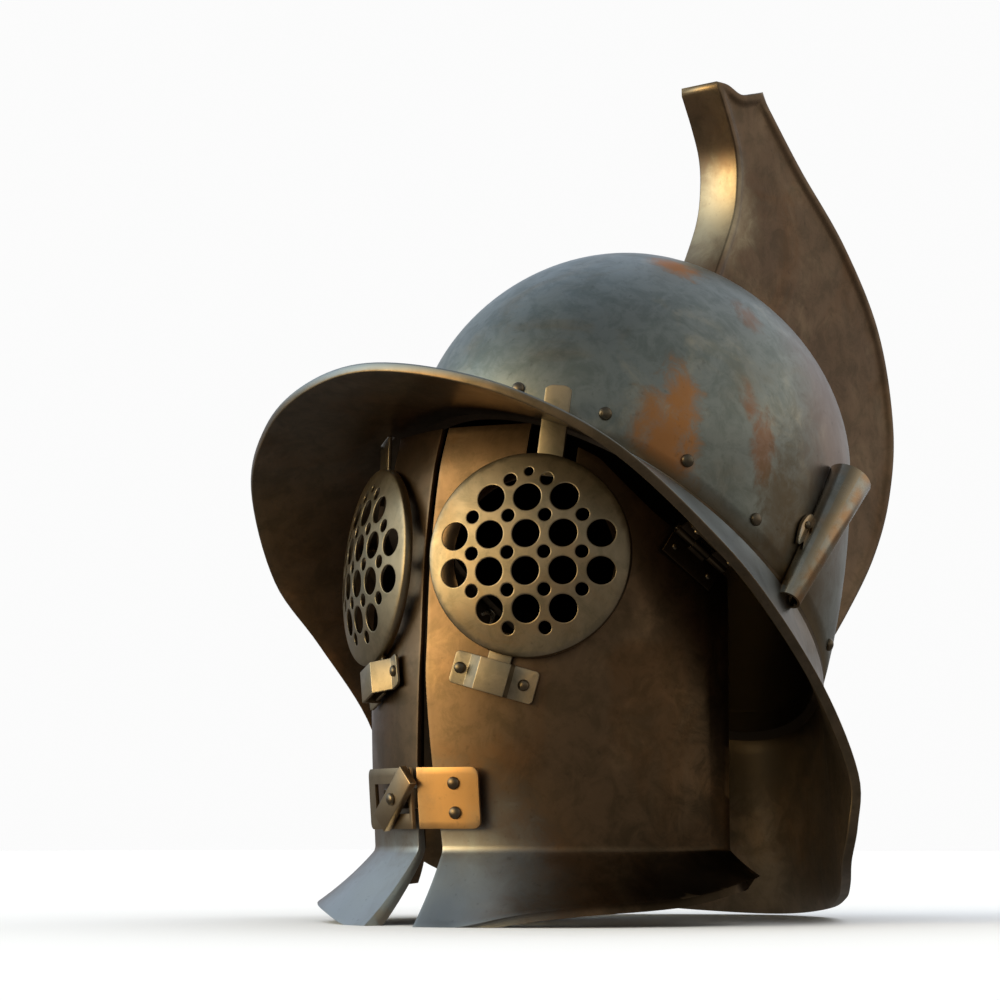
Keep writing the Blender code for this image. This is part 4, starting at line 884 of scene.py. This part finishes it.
def make_disc(side, word):
    """The pierced dome with worn hole edges, its turned-down rim and its lower tab."""
    flat, loops, kept = plate_layout(side, HOLE_EASE)
    points = [(p.x, p.y, -dome_drop(p.length)) for p in flat]
    back = len(points)
    points += [(p.x, p.y, -dome_drop(p.length) - DISC_WALL) for p in flat]
    faces = kept + [tuple(back + i for i in reversed(t)) for t in kept]
    # Each hole: the worn edge, then the straight wall.
    start = len(loops[0])
    for (across, up, radius), loop in zip(hole_list(), loops[1:]):
        centre = Vector((side * across, up))
        first = len(points)
        for share, depth in ((0.3, 0.3), (0.0, 1.0)):
            for p in loop:
                spot = centre + (p - centre).normalized() * (radius + HOLE_EASE * share)
                points.append((spot.x, spot.y, -dome_drop(spot.length) - HOLE_EASE * depth))
        count = len(loop)
        for i in range(count):
            j = (i + 1) % count
            faces.append((start + i, start + j, first + j, first + i))
            faces.append((first + i, first + j, first + count + j, first + count + i))
            faces.append((first + count + i, first + count + j, back + start + j, back + start + i))
        start += count
    # The rim: rounded over, down its outside, and up its inside.
    drop = dome_drop(DISC_RADIUS)
    section = [(DISC_RADIUS - 0.0002, -drop - 0.0002), (DISC_RADIUS, -drop - 0.0007)]
    section += [(DISC_RADIUS, -drop - DISC_RIM + 0.0003), (DISC_RADIUS - 0.0003, -drop - DISC_RIM)]
    section += [(DISC_RADIUS - DISC_WALL, -drop - DISC_RIM)]
    rings = [list(range(DISC_SEGMENTS))]
    for radius, height in section:
        rings.append(list(range(len(points), len(points) + DISC_SEGMENTS)))
        points += [(p.x, p.y, height) for p in circle(0.0, 0.0, radius, DISC_SEGMENTS)]
    rings.append([back + i for i in range(DISC_SEGMENTS)])
    for upper, lower in zip(rings, rings[1:]):
        for i in range(DISC_SEGMENTS):
            j = (i + 1) % DISC_SEGMENTS
            faces.append((upper[i], upper[j], lower[j], lower[i]))
    disc = settle(mesh_object("eye_grille_" + word, points, faces, disc_matrix(side)), sharp=50.0)
    # The tab is a plate of its own under the rim, joined to the disc.
    length = (TAB_END - DISC_RADIUS + DISC_WALL) / 2
    tab_depth = -drop - DISC_RIM + TAB_THICK / 2 + TAB_RAISE
    lean = Matrix.Rotation(-side * math.radians(TAB_LEAN), 4, "Z")
    shift = Matrix.Translation((0.0, -(TAB_END - length), tab_depth))
    tab_mesh = box_mesh((TAB_WIDTH / 2, length, TAB_THICK / 2))
    tab = mesh_object("grille_tab_" + word, *tab_mesh, disc_matrix(side) @ lean @ shift)
    ease_edges(tab, 0.0004)
    return disc, settle(tab)


def strip_ends(side):
    low = disc_point(side, *STRIP_LOW, -STRIP_DEPTH)
    return low, disc_point(side, *STRIP_HIGH, -STRIP_DEPTH)


def strip_matrix(side, beyond):
    """Local Y along a strip, with the origin a given way up it from its lower end."""
    low, high = strip_ends(side)
    way = (high - low).normalized()
    normal = disc_axis(side)[1]
    return frame_at(low + way * beyond, normal, way.cross(normal))


# Fittings


def whole_solid(mesh):
    """A working copy of a CAD solid's mesh, with its flat faces made whole again."""
    work = bmesh.new()
    work.from_mesh(mesh)
    bmesh.ops.remove_doubles(work, verts=work.verts, dist=1e-6)
    bmesh.ops.dissolve_limit(work, angle_limit=math.radians(1.0), verts=work.verts, edges=work.edges)
    return work


def round_ends(work, size):
    """Rounds the outer corners of a strip, at both ends of its longest way."""
    work.verts.index_update()
    spots = np.array([tuple(v.co) for v in work.verts])
    ways = np.linalg.svd(spots - spots.mean(0))[2]
    along = spots @ ways[0]
    reach = abs(along - (along.max() + along.min()) / 2)
    ends, thick = reach > reach.max() - 0.0006, Vector(ways[2])
    corners = []
    for edge in work.edges:
        way = (edge.verts[0].co - edge.verts[1].co).normalized()
        if all(ends[v.index] for v in edge.verts) and abs(way.dot(thick)) > 0.9:
            corners.append(edge)
    bmesh.ops.bevel(work, geom=corners, offset=size, segments=5, profile=0.5, affect="EDGES")


def eased_copy(node, name, width, angle=30.0, corner=0.0):
    """A CAD solid with its edges rounded, and the corners at its ends too where corner is given."""
    mesh = frame["nodes"][node].data.copy()
    mesh.name = name
    mesh.materials.clear()
    work = whole_solid(mesh)
    if corner:
        round_ends(work, corner)
    work.to_mesh(mesh)
    work.free()
    for layer in [a.name for a in mesh.attributes if a.name == "custom_normal"]:
        mesh.attributes.remove(mesh.attributes[layer])
    obj = add_object(name, mesh)
    ease_edges(obj, width, 3, angle)
    return settle(obj)


def seat_of(node):
    """Centre, outward normal, radius and height of a rivet's head, from its CAD solid."""
    work = whole_solid(frame["nodes"][node].data)
    base = max(work.faces, key=lambda f: f.calc_area())
    centre, normal = base.calc_center_median().copy(), base.normal.copy()
    radius = sum((v.co - centre).length for v in base.verts) / len(base.verts)
    apex = max((v.co - centre).dot(-normal) for v in work.verts)
    work.free()
    return centre, -normal, radius, apex


def make_rivet(node):
    """A hammered domed head: a short straight skirt, then a slightly flattened dome."""
    centre, normal, radius, apex = seat_of(node)
    section = [(radius, -GAP), (radius, RIVET_SKIRT * apex)]
    for bend in map(math.radians, RIVET_BENDS):
        rise = RIVET_SKIRT + (1 - RIVET_SKIRT) * math.sin(bend)
        section.append((radius * math.cos(bend), apex * rise))
    points, faces = ring_mesh(tube_rings(section + [(0.0, apex)], RIVET_SIDES))
    faces.append(tuple(range(RIVET_SIDES)))
    matrix = Matrix.Translation(-FRAME_SHIFT) @ frame_at(centre, normal, Vector((0.3, 0.1, 1.0)))
    head = mesh_object(node + "_head", points, faces, matrix)
    return settle(head, sharp=60.0)


def clasp_surface(x, height, lift):
    """A point over both visor halves, bridging the slit with a fold on the middle line."""
    side = 1 if x >= 0 else -1
    width = abs(x)
    edge = visor_value("x", height) + SLIT_MARGIN
    station = visor_station(max(width, edge), height)
    base = visor_point(station, height)
    normal = visor_normal(station, height)
    if width < edge:
        along = Vector((normal.y, -normal.x, 0.0)).normalized()
        base = base + along * ((width - base.x) / along.x)
    point = base + normal * lift
    return Vector((side * point.x, point.y, height)), sided(side, normal)


def make_clasp_arm(name, side, reach):
    """One arm of the clasp, with rounded corners at its outer end."""
    fold = GAP / 2
    shares = [i / CLASP_STEPS * CLASP_EVEN for i in range(CLASP_STEPS + 1)] + list(CLASP_END_SHARES)
    half = (CLASP_HIGH - CLASP_LOW) / 2
    outer, inner = [], []
    for row in range(CLASP_ROWS + 1):
        place = 2 * row / CLASP_ROWS - 1
        top_row, low_row = [], []
        for share in shares:
            x = fold + (reach - fold) * share
            into = max(0.0, x - (reach - CLASP_CORNER))
            tall = half - CLASP_CORNER + math.sqrt(max(0.0, CLASP_CORNER**2 - into**2))
            height = CLASP_MIDDLE - place * tall
            top_row.append(clasp_surface(side * x, height, CLASP_LIFT + CLASP_SHEET)[0])
            low_row.append(clasp_surface(side * x, height, CLASP_LIFT)[0])
        outer.append(top_row)
        inner.append(low_row)
    return mesh_object(name, *sheet_mesh(outer, inner))


def make_clasp():
    plate = make_clasp_arm("clasp_left_arm", 1, CLASP_LEFT_REACH)
    ease_edges(plate, 0.0004, 3, 45.0)
    settle(plate)
    arm = make_clasp_arm("clasp_hasp", -1, CLASP_RIGHT_REACH)
    centre, normal = clasp_surface(-(CLASP_SLOT[0] + CLASP_SLOT[1]) / 2, CLASP_MIDDLE, CLASP_LIFT)
    slot = box_mesh(((CLASP_SLOT[1] - CLASP_SLOT[0]) / 2, CLASP_SLOT_HEIGHT / 2, 0.010))
    matrix = frame_at(centre, normal, normal.cross(Vector((0.0, 0.0, 1.0))))
    window = mesh_object("hasp_slot", *slot, matrix)
    cut(arm, window)
    ease_edges(arm, 0.0003, 2, 45.0)
    return plate, settle(arm, [window])


def button_frame():
    """Local Z on the turn button's post, with the button's flat underside at the origin."""
    point, normal = clasp_surface(-BUTTON_AT, CLASP_MIDDLE, CLASP_LIFT + CLASP_SHEET + GAP)
    return frame_at(point, normal, Vector((0.0, 0.0, 1.0)).cross(normal))


def make_button():
    """A slanted lozenge on its post, with a round head."""
    outline = list(BUTTON_CORNERS) + [(-a, -b) for a, b in BUTTON_CORNERS]
    plate = mesh_object("button_plate", *prism_mesh(outline, 0.0, BUTTON_SHEET), button_frame())
    ease_edges(plate, 0.0006, 3)
    settle(plate)
    head = settle(mesh_object("button_head", *ring_mesh(tube_rings(BUTTON_HEAD, 32)), button_frame()))
    section = [(0.0, POST_TOP), (POST_RADIUS, POST_TOP), (POST_RADIUS, -CLASP_SHEET), (0.0, -CLASP_SHEET)]
    post = settle(mesh_object("button_post", *ring_mesh(tube_rings(section, 24)), button_frame()))
    return plate, head, post


def cone_mesh(low, high, bottom, top):
    rings = tube_rings([(0.0, bottom), (low, bottom), (high, top), (0.0, top)], TUBE_SEGMENTS)
    return ring_mesh(rings)


def seat_rings():
    """The room that the bowl and the upper part of the brim take, with clearance."""
    rings = bowl_rings(-GAP)
    count = BRIM_TURNS // 2
    lines = [brim_line(360.0 * i / count, BOWL_WALL / 2) for i in range(count)]
    for k in range(1, BRIM_STEPS // 2):
        ring = []
        for i, line in enumerate(lines):
            around = lines[(i + 1) % count][k] - lines[i - 1][k]
            up = around.cross(line[k + 1] - line[k - 1]).normalized()
            ring.append(line[k] + up * (BRIM_WALL / 2 + GAP))
        rings.append(ring)
    rings.append([BOWL_CENTRE - Vector((0.0, 0.0, BOWL_DROP))])
    return rings


def make_tube(side, word):
    """The tapered socket, open along the bowl that it lies on, with its leaf-shaped lug."""
    way = TUBE_MOUTH - TUBE_LOW
    length = way.length
    way = way.normalized()
    widening = (TUBE_MOUTH_RADIUS - TUBE_LOW_RADIUS) / length
    matrix = to_side(side, frame_at(TUBE_LOW, way, Vector((1.0, 0.0, 0.0))))
    outside = cone_mesh(TUBE_LOW_RADIUS, TUBE_MOUTH_RADIUS, 0.0, length)
    tube = mesh_object("plume_socket_" + word, *outside, matrix)
    front = Vector((0.0, -way.z, way.y)).normalized()
    radius = TUBE_LOW_RADIUS + widening * length * LUG_PLACE
    seat = bowl_surface(TUBE_LOW + way * (length * LUG_PLACE) + front * (radius + LUG_AHEAD))
    normal = bowl_normal(seat)
    outline = []
    for i in range(LUG_SIDES):
        angle = 2 * math.pi * i / LUG_SIDES
        taper = 1 + LUG_TAPER * min(math.sin(angle), 0.0)
        outline.append((LUG_HALF_WIDTH * taper * math.cos(angle), LUG_HALF_LENGTH * math.sin(angle)))
    lug_frame = to_side(side, frame_at(seat + normal * 2 * GAP, normal, way.cross(normal)))
    lug = mesh_object("leaf", *prism_mesh(outline, 0.0, LUG_SHEET), lug_frame)
    room = mesh_object("seat", *ring_mesh(seat_rings()))
    past = 0.001
    low, high = TUBE_LOW_RADIUS - TUBE_WALL, TUBE_MOUTH_RADIUS - TUBE_WALL
    inside = cone_mesh(low - widening * past, high + widening * past, -past, length + past)
    core = mesh_object("core", *inside, matrix)
    cut(tube, lug, "UNION")
    cut(tube, room)
    cut(tube, core)
    ease_edges(tube, 0.0003, 2, 50.0)
    return settle(tube, [lug, room, core])


# Materials


def add_node(tree, kind, settings=None, **inputs):
    """A shader node with its settings, and its inputs set or linked by name."""
    node = tree.nodes.new(kind)
    for name, value in (settings or {}).items():
        setattr(node, name, value)
    for name, value in inputs.items():
        socket = node.inputs[int(name[1:])] if name[0] == "_" else node.inputs[name.replace("_", " ")]
        if isinstance(value, bpy.types.NodeSocket):
            tree.links.new(value, socket)
        else:
            socket.default_value = value
    return node


def mix_colour(tree, factor, first, second, blend="MIX"):
    node = add_node(tree, "ShaderNodeMix", {"data_type": "RGBA", "blend_type": blend})
    for socket, value in ((node.inputs[0], factor), (node.inputs[6], first), (node.inputs[7], second)):
        if isinstance(value, bpy.types.NodeSocket):
            tree.links.new(value, socket)
        elif isinstance(value, tuple):
            socket.default_value = (*value[:3], 1.0)
        else:
            socket.default_value = value
    return node.outputs[2]


def in_range(tree, value, low, high, to_low=0.0, to_high=1.0):
    """Eases a value from its own range, low to high, to another."""
    node = add_node(tree, "ShaderNodeMapRange", {"interpolation_type": "SMOOTHSTEP"}, Value=value)
    for socket, number in zip(node.inputs[1:5], (low, high, to_low, to_high)):
        socket.default_value = number
    return node.outputs[0]


def noise(tree, vector, scale, detail=3.0, roughness=0.55, distortion=0.0):
    """Noise with about scale waves in a metre."""
    settings = {"Vector": vector, "Scale": scale, "Detail": detail, "Roughness": roughness}
    return add_node(tree, "ShaderNodeTexNoise", None, Distortion=distortion, **settings).outputs[0]


def maths(tree, operation, *values):
    inputs = {f"_{i}": value for i, value in enumerate(values)}
    return add_node(tree, "ShaderNodeMath", {"operation": operation}, **inputs).outputs[0]


def vector_maths(tree, operation, first, second):
    node = add_node(tree, "ShaderNodeVectorMath", {"operation": operation}, _0=first, _1=second)
    return node.outputs["Value" if operation in ("DOT_PRODUCT", "DISTANCE") else "Vector"]


def height_of(tree, vector):
    return add_node(tree, "ShaderNodeSeparateXYZ", None, Vector=vector).outputs["Z"]


def tarnished(tree, place, tones, smoke, mottle):
    """Drifting tone, smoky patches, fine mottling and wide brown stains."""
    dark, base, light = tones
    drift, stain = noise(tree, place, 7.0, 3.0, 0.5, 0.6), noise(tree, place, 14.0, 5.0, 0.6, 1.2)
    colour = mix_colour(tree, in_range(tree, drift, 0.36, 0.64), dark, base)
    colour = mix_colour(tree, in_range(tree, smoke, 0.50, 0.74), colour, light)
    mottled = in_range(tree, mottle, 0.40, 0.64, 0.0, 0.75)
    colour = mix_colour(tree, mottled, colour, MOTTLE_TINT, "MULTIPLY")
    stained = in_range(tree, stain, 0.48, 0.70, 0.0, 0.70)
    return mix_colour(tree, stained, colour, STAIN_TINT, "MULTIPLY")


def spotted(tree, place, colour, spots, mottle, tall, only):
    """Adds the spots, with ragged edges and tall times as high as wide, where only lets them show."""
    squash = Vector((1.0, 1.0, 1.0 / tall))
    squashed = vector_maths(tree, "MULTIPLY", place, squash)
    for centre, reach, tint, strength in spots:
        rag = min(2.4 * reach, MOST_RAGGED)
        far = vector_maths(tree, "DISTANCE", squashed, centre * squash)
        ragged = maths(tree, "MULTIPLY_ADD", mottle, -rag, far)
        near = in_range(tree, ragged, reach * 1.1 - rag / 2, reach * 0.2 - rag / 2, 0.0, strength)
        if only is not None:
            near = maths(tree, "MULTIPLY", near, only)
        colour = mix_colour(tree, near, colour, tint)
    return colour


def bronze(name, tones, roughness, spots=(), inside=False, hollow=None, upper=None, wear=0.75, tall=1.0):
    """Aged bronze with tarnish, faint specks, fine rubbing marks and bright worn edges.
    Each spot is (centre, reach, colour, strength), a patch of other tarnish, painted shade or painted
    highlight, tall times as high as wide.
    inside keeps the spots to the faces that look at the helmet's axis. hollow is a middle point: the
    faces that look towards it get a dark painted shade. upper is a painted sky reflection on the high faces
    that look up."""
    material = bpy.data.materials.new(name)
    material.use_nodes = True
    tree = material.node_tree
    shader = tree.nodes["Principled BSDF"]
    place = tree.nodes.new("ShaderNodeTexCoord").outputs["Object"]
    geometry = tree.nodes.new("ShaderNodeNewGeometry")
    normal, edge = geometry.outputs["Normal"], geometry.outputs["Pointiness"]
    smoke = noise(tree, place, 26.0, 6.0, 0.62, 0.8)
    mottle = noise(tree, place, 75.0, 8.0, 0.7, 0.5)
    speck = noise(tree, place, 320.0, 2.0, 0.5)
    rubbed = add_node(tree, "ShaderNodeMapping", None, Vector=place, Scale=(260, 260, 40)).outputs[0]
    marks = noise(tree, rubbed, 1.0, 4.0, 0.7)
    only = None
    if inside:
        level = vector_maths(tree, "MULTIPLY", place, (1.0, 1.0, 0.0))
        only = in_range(tree, vector_maths(tree, "DOT_PRODUCT", level, normal), 0.002, -0.002)
    colour = tarnished(tree, place, tones, smoke, mottle)
    colour = spotted(tree, place, colour, spots, mottle, tall, only)
    # Painted sky reflection: the high faces that look up are tinted pale blue-grey.
    if upper:
        open_sky = in_range(tree, height_of(tree, normal), 0.05, 0.45)
        high = in_range(tree, height_of(tree, place), 0.14, 0.18)
        colour = mix_colour(tree, maths(tree, "MULTIPLY", open_sky, high), colour, upper)
    # Painted shade: the faces that look towards the middle point, the helmet's inside, are made dark.
    if hollow:
        across = vector_maths(tree, "SUBTRACT", place, hollow)
        outward = vector_maths(tree, "DOT_PRODUCT", across, normal)
        colour = mix_colour(tree, in_range(tree, outward, -0.002, 0.002), PAINTED_SHADE, colour)
    darker = mix_colour(tree, in_range(tree, speck, 0.62, 0.80, 0.0, 0.22), colour, SPECK_TINT)
    worn = mix_colour(tree, in_range(tree, edge, 0.52, 0.60, 0.0, wear), darker, WORN)
    tree.links.new(worn, shader.inputs["Base Color"])
    shader.inputs["Metallic"].default_value = 1.0
    base_rough = in_range(tree, smoke, 0.35, 0.70, roughness + 0.05, roughness - 0.04)
    rough = maths(tree, "MULTIPLY_ADD", marks, 0.10, base_rough)
    tree.links.new(rough, shader.inputs["Roughness"])
    dents = noise(tree, place, 34.0, 2.0, 0.4)
    soft = add_node(tree, "ShaderNodeBump", None, Height=dents, Strength=0.10, Distance=0.0022)
    fine = add_node(tree, "ShaderNodeBump", None, Height=marks, Strength=0.10, Distance=0.0003)
    tree.links.new(soft.outputs[0], fine.inputs["Normal"])
    tree.links.new(fine.outputs[0], shader.inputs["Normal"])
    return material


def make_materials():
    """One finish for each slot. Each spot is (centre, reach, colour, strength)."""
    orange, rust, umber = (0.52, 0.23, 0.08), (0.32, 0.145, 0.07), (0.15, 0.105, 0.06)
    # Some of these colours are painted light: a highlight and a shade on the clasp's arms, a sky reflection
    # on the visor's foot and a highlight on the crest.
    lit_brass, shaded_brass, sky_reflection_grey = (0.62, 0.34, 0.13), (0.26, 0.20, 0.135), (0.46, 0.48, 0.47)
    pink, gilt_highlight, copper = (0.27, 0.20, 0.17), (0.44, 0.36, 0.24), (0.46, 0.26, 0.13)
    brown = ((0.15, 0.094, 0.052), (0.19, 0.120, 0.068), (0.25, 0.155, 0.085))
    olive = ((0.16, 0.12, 0.08), (0.20, 0.148, 0.098), (0.24, 0.17, 0.11))
    red_brown = ((0.14, 0.09, 0.058), (0.18, 0.118, 0.073), (0.19, 0.13, 0.082))
    blue_grey = ((0.24, 0.255, 0.24), (0.31, 0.33, 0.30), (0.40, 0.375, 0.30))
    buff = ((0.28, 0.225, 0.15), (0.34, 0.27, 0.18), (0.39, 0.30, 0.195))
    pale = ((0.34, 0.275, 0.19), (0.40, 0.325, 0.225), (0.45, 0.36, 0.24))
    black_brown = ((0.15, 0.12, 0.085), (0.19, 0.15, 0.105), (0.24, 0.18, 0.12))
    dun = ((0.42, 0.41, 0.36), (0.50, 0.49, 0.43), (0.52, 0.33, 0.19))
    bowl_spots = (
        (Vector((0.106, 0.002, 0.168)), 0.052, umber, 0.85),
        (Vector((0.098, 0.045, 0.262)), 0.050, pink, 0.85),
        (Vector((0.085, -0.088, 0.238)), 0.021, orange, 0.95),
        (Vector((0.088, -0.077, 0.262)), 0.013, orange, 0.85),
        (Vector((0.105, -0.031, 0.244)), 0.012, rust, 0.65),
        (Vector((0.103, -0.037, 0.266)), 0.008, rust, 0.6),
        (Vector((0.105, -0.020, 0.215)), 0.018, umber, 0.6),
        (Vector((0.082, -0.012, 0.314)), 0.011, rust, 0.6),
        (Vector((0.047, -0.029, 0.343)), 0.016, orange, 1.0),
    )
    # Dark painted shade on the brim's inward faces, underneath it, on both sides.
    brim_shade_spots = tuple(
        (Vector((side * x, y, z)), reach, PAINTED_SHADE, 0.9)
        for side in (1, -1)
        for x, y, z, reach in SHADED_BRIM_PLACES
    )
    # A painted golden highlight on the crest's front band.
    crest_highlight = ((Vector((0.0, 0.058, 0.395)), 0.036, gilt_highlight, 1.0),)
    # Painted sky reflection in grey on the front of the foot. Dark painted shade on the foot's far end and on
    # the visor's side under the brim.
    visor_light_and_shade = (
        (Vector((0.022, -0.200, 0.012)), 0.075, sky_reflection_grey, 1.0),
        (Vector((-0.045, -0.180, 0.012)), 0.060, sky_reflection_grey, 1.0),
        (Vector((0.110, -0.100, 0.012)), 0.060, PAINTED_SHADE, 0.95),
        (Vector((0.112, -0.058, 0.180)), 0.060, PAINTED_SHADE, 0.9),
        (Vector((0.112, -0.056, 0.100)), 0.045, PAINTED_SHADE, 0.8),
        (Vector((0.110, -0.060, 0.050)), 0.045, PAINTED_SHADE, 0.8),
    )
    # Painted highlight on the left arm, painted shade on the right arm, as the fold turns them to and from
    # the light.
    clasp_light_and_shade = (
        (Vector((0.020, -0.178, 0.062)), 0.040, lit_brass, 1.0),
        (Vector((-0.024, -0.178, 0.062)), 0.038, shaded_brass, 1.0),
    )
    outward = Vector((1.0, 0.0, 0.0))
    stripe_low, stripe_high = TUBE_LOW + outward * TUBE_LOW_RADIUS, TUBE_MOUTH + outward * TUBE_MOUTH_RADIUS
    tube_spots = tuple(
        (sided(side, stripe_low.lerp(stripe_high, step / STRIPE_STEPS)), 0.008, copper, 0.8)
        for side in (1, -1)
        for step in range(STRIPE_STEPS + 1)
    )
    return {
        "bronze_bowl": bronze("aged_bowl_shaded_inside", blue_grey, 0.34, bowl_spots, hollow=BOWL_CENTRE, tall=2.0),
        "bronze_brim": bronze("aged_brim_shade_and_sheen", olive, 0.33, brim_shade_spots, inside=True, upper=BRIM_SKY_SHEEN),
        "bronze_crest": bronze("aged_crest_painted_highlight", red_brown, 0.33, crest_highlight),
        "bronze_visor": bronze("aged_visor_painted_light", brown, 0.30, visor_light_and_shade, wear=0.4),
        "bronze_disc": bronze("aged_disc", buff, 0.34, wear=0.3),
        "bronze_fittings": bronze("aged_fittings_painted_light", pale, 0.33, clasp_light_and_shade, wear=0.4),
        "bronze_rivets": bronze("aged_rivets", black_brown, 0.26),
        "bronze_tubes": bronze("aged_tubes", dun, 0.17, tube_spots),
        # The hinge leaves: dark painted shade, as they lie in the brim's shadow.
        "shaded_hinges": bronze("hinges_painted_shade", HINGE_SHADE_TONES, 0.33, wear=0.2),
    }


# Dressing, light and camera


def dress(piece, body, material, slot, *nodes):
    """Gives a piece its finish and its body, and hides the CAD nodes that it stands for."""
    piece.data.materials.clear()
    piece.data.materials.append(material)
    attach(piece, body)
    if nodes:
        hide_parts(*nodes)
    return piece


def dress_all():
    finish = make_materials()

    def put(piece, body, slot, *nodes, look=None):
        return dress(piece, body, finish[look or slot], slot, *nodes)

    put(make_bowl(), "skull", "bronze_bowl", "bowl")
    put(make_brim(), "skull", "bronze_brim", "brim")
    put(make_crest(), "skull", "bronze_crest", "crest")
    plate, hasp = make_clasp()
    put(plate, "cheek_left", "bronze_fittings", "clasp_plate")
    put(hasp, "cheek_right", "bronze_fittings", "clasp_slotted_arm")
    put(eased_copy("clasp_base", "clasp_seat", 0.0004), "cheek_right", "bronze_rivets", "clasp_base")
    button_plate, button_head, button_post = make_button()
    put(button_plate, "button", "bronze_fittings", "turn_button")
    put(button_head, "button", "bronze_rivets")
    put(button_post, "button", "bronze_rivets")
    for side, word in ((1, "left"), (-1, "right")):
        cheek = "cheek_" + word
        put(make_visor(side, word), cheek, "bronze_visor", "visor_" + word)
        disc, tab = make_disc(side, word)
        put(disc, "disc_" + word, "bronze_disc", "eye_disc_" + word)
        put(tab, "disc_" + word, "bronze_disc")
        strip = eased_copy("brow_strip_" + word, "brow_tongue_" + word, 0.0004, corner=0.0022)
        put(strip, "strip_" + word, "bronze_fittings", "brow_strip_" + word)
        keeper = eased_copy("keeper_" + word, "tab_keeper_" + word, 0.0003, corner=0.0022)
        put(keeper, cheek, "bronze_fittings", "keeper_" + word)
        for end, body in (("cheek", cheek), ("brim", "skull")):
            node = f"hinge_{end}_leaf_{word}"
            leaf = eased_copy(node, f"temple_{end}_leaf_{word}", 0.0002)
            # The hinge leaves take the finish of painted shade.
            put(leaf, body, "bronze_brim", node, look="shaded_hinges")
        pin = eased_copy("hinge_pin_" + word, "temple_pin_" + word, 0.0002)
        put(pin, "skull", "bronze_rivets", "hinge_pin_" + word)
        put(make_tube(side, word), "skull", "bronze_tubes", "plume_tube_" + word)
    for name in frame["nodes"]:
        if "rivet" in name or "plume_pin" in name:
            put(make_rivet(name), frame["nodes"][name]["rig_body"], "bronze_rivets", name)


def make_stage():
    far = FLOOR_HALF
    points = [(-far, -far, 0.0), (far, -far, 0.0), (far, far, 0.0), (-far, far, 0.0)]
    mesh = bpy.data.meshes.new("floor")
    mesh.from_pydata(points, [], [(0, 1, 2, 3)])
    floor = add_object("floor", mesh)
    material = bpy.data.materials.new("pale_floor")
    material.use_nodes = True
    tree = material.node_tree
    shader = tree.nodes["Principled BSDF"]
    place = tree.nodes.new("ShaderNodeTexCoord").outputs["Object"]
    tone = mix_colour(tree, noise(tree, place, 3.0), (0.80, 0.80, 0.80), (0.83, 0.83, 0.83))
    tree.links.new(tone, shader.inputs["Base Color"])
    shader.inputs["Roughness"].default_value = 0.9
    mesh.materials.append(material)
    floor.visible_glossy = False


def way_to(bearing, height):
    turn, lift = math.radians(bearing), math.radians(height)
    return Vector((math.sin(turn) * math.cos(lift), -math.cos(turn) * math.cos(lift), math.sin(lift)))


def sky_colour(tree):
    """What the metal mirrors: dark ground, a dim wide sky and a few broad glows."""
    way = tree.nodes.new("ShaderNodeTexCoord").outputs["Generated"]
    up = height_of(tree, way)
    band = add_node(tree, "ShaderNodeValToRGB", None, Fac=maths(tree, "MULTIPLY_ADD", up, 0.5, 0.5))
    while len(band.color_ramp.elements) < len(SKY_BANDS):
        band.color_ramp.elements.new(0.5)
    for element, (height, colour) in zip(band.color_ramp.elements, SKY_BANDS):
        element.position = (1 + math.sin(math.radians(height))) / 2
        element.color = (*colour, 1.0)
    colour = band.outputs[0]
    above = in_range(tree, up, -0.04, 0.05)
    for bearing, height, tightness, glow in SKY_GLOWS:
        facing = vector_maths(tree, "DOT_PRODUCT", way, way_to(bearing, height))
        lobe = maths(tree, "POWER", maths(tree, "MAXIMUM", facing, 0.0), tightness)
        colour = mix_colour(tree, maths(tree, "MULTIPLY", lobe, above), colour, glow, "ADD")
    return colour


def make_light():
    """A soft surround for the metal, a pale backdrop and a broad light over the floor."""
    world = bpy.data.worlds.new("studio")
    bpy.context.scene.world = world
    world.use_nodes = True
    tree = world.node_tree
    sky = tree.nodes["Background"]
    tree.links.new(sky_colour(tree), sky.inputs["Color"])
    backdrop = tree.nodes.new("ShaderNodeBackground")
    backdrop.inputs["Color"].default_value = (BACKDROP, BACKDROP, BACKDROP, 1.0)
    seen = tree.nodes.new("ShaderNodeLightPath").outputs["Is Camera Ray"]
    both = add_node(tree, "ShaderNodeMixShader", None, _0=seen, _1=sky.outputs[0], _2=backdrop.outputs[0])
    tree.links.new(both.outputs[0], tree.nodes["World Output"].inputs["Surface"])
    data = bpy.data.lights.new("overhead", "SUN")
    data.energy = FLOOR_SUN
    data.angle = math.radians(SUN_WIDTH)
    add_object("overhead", data).visible_glossy = False


def make_camera():
    data = bpy.data.cameras.new("view")
    data.angle = math.radians(CAMERA_FIELD)
    camera = add_object("view", data)
    camera.location = CAMERA_AT
    camera.rotation_euler = CAMERA_WAY.to_track_quat("-Z", "Y").to_euler()
    bpy.context.scene.camera = camera


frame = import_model()
make_camera()
make_stage()
make_light()
dress_all()
bpy.context.scene.view_settings.view_transform = "Standard"
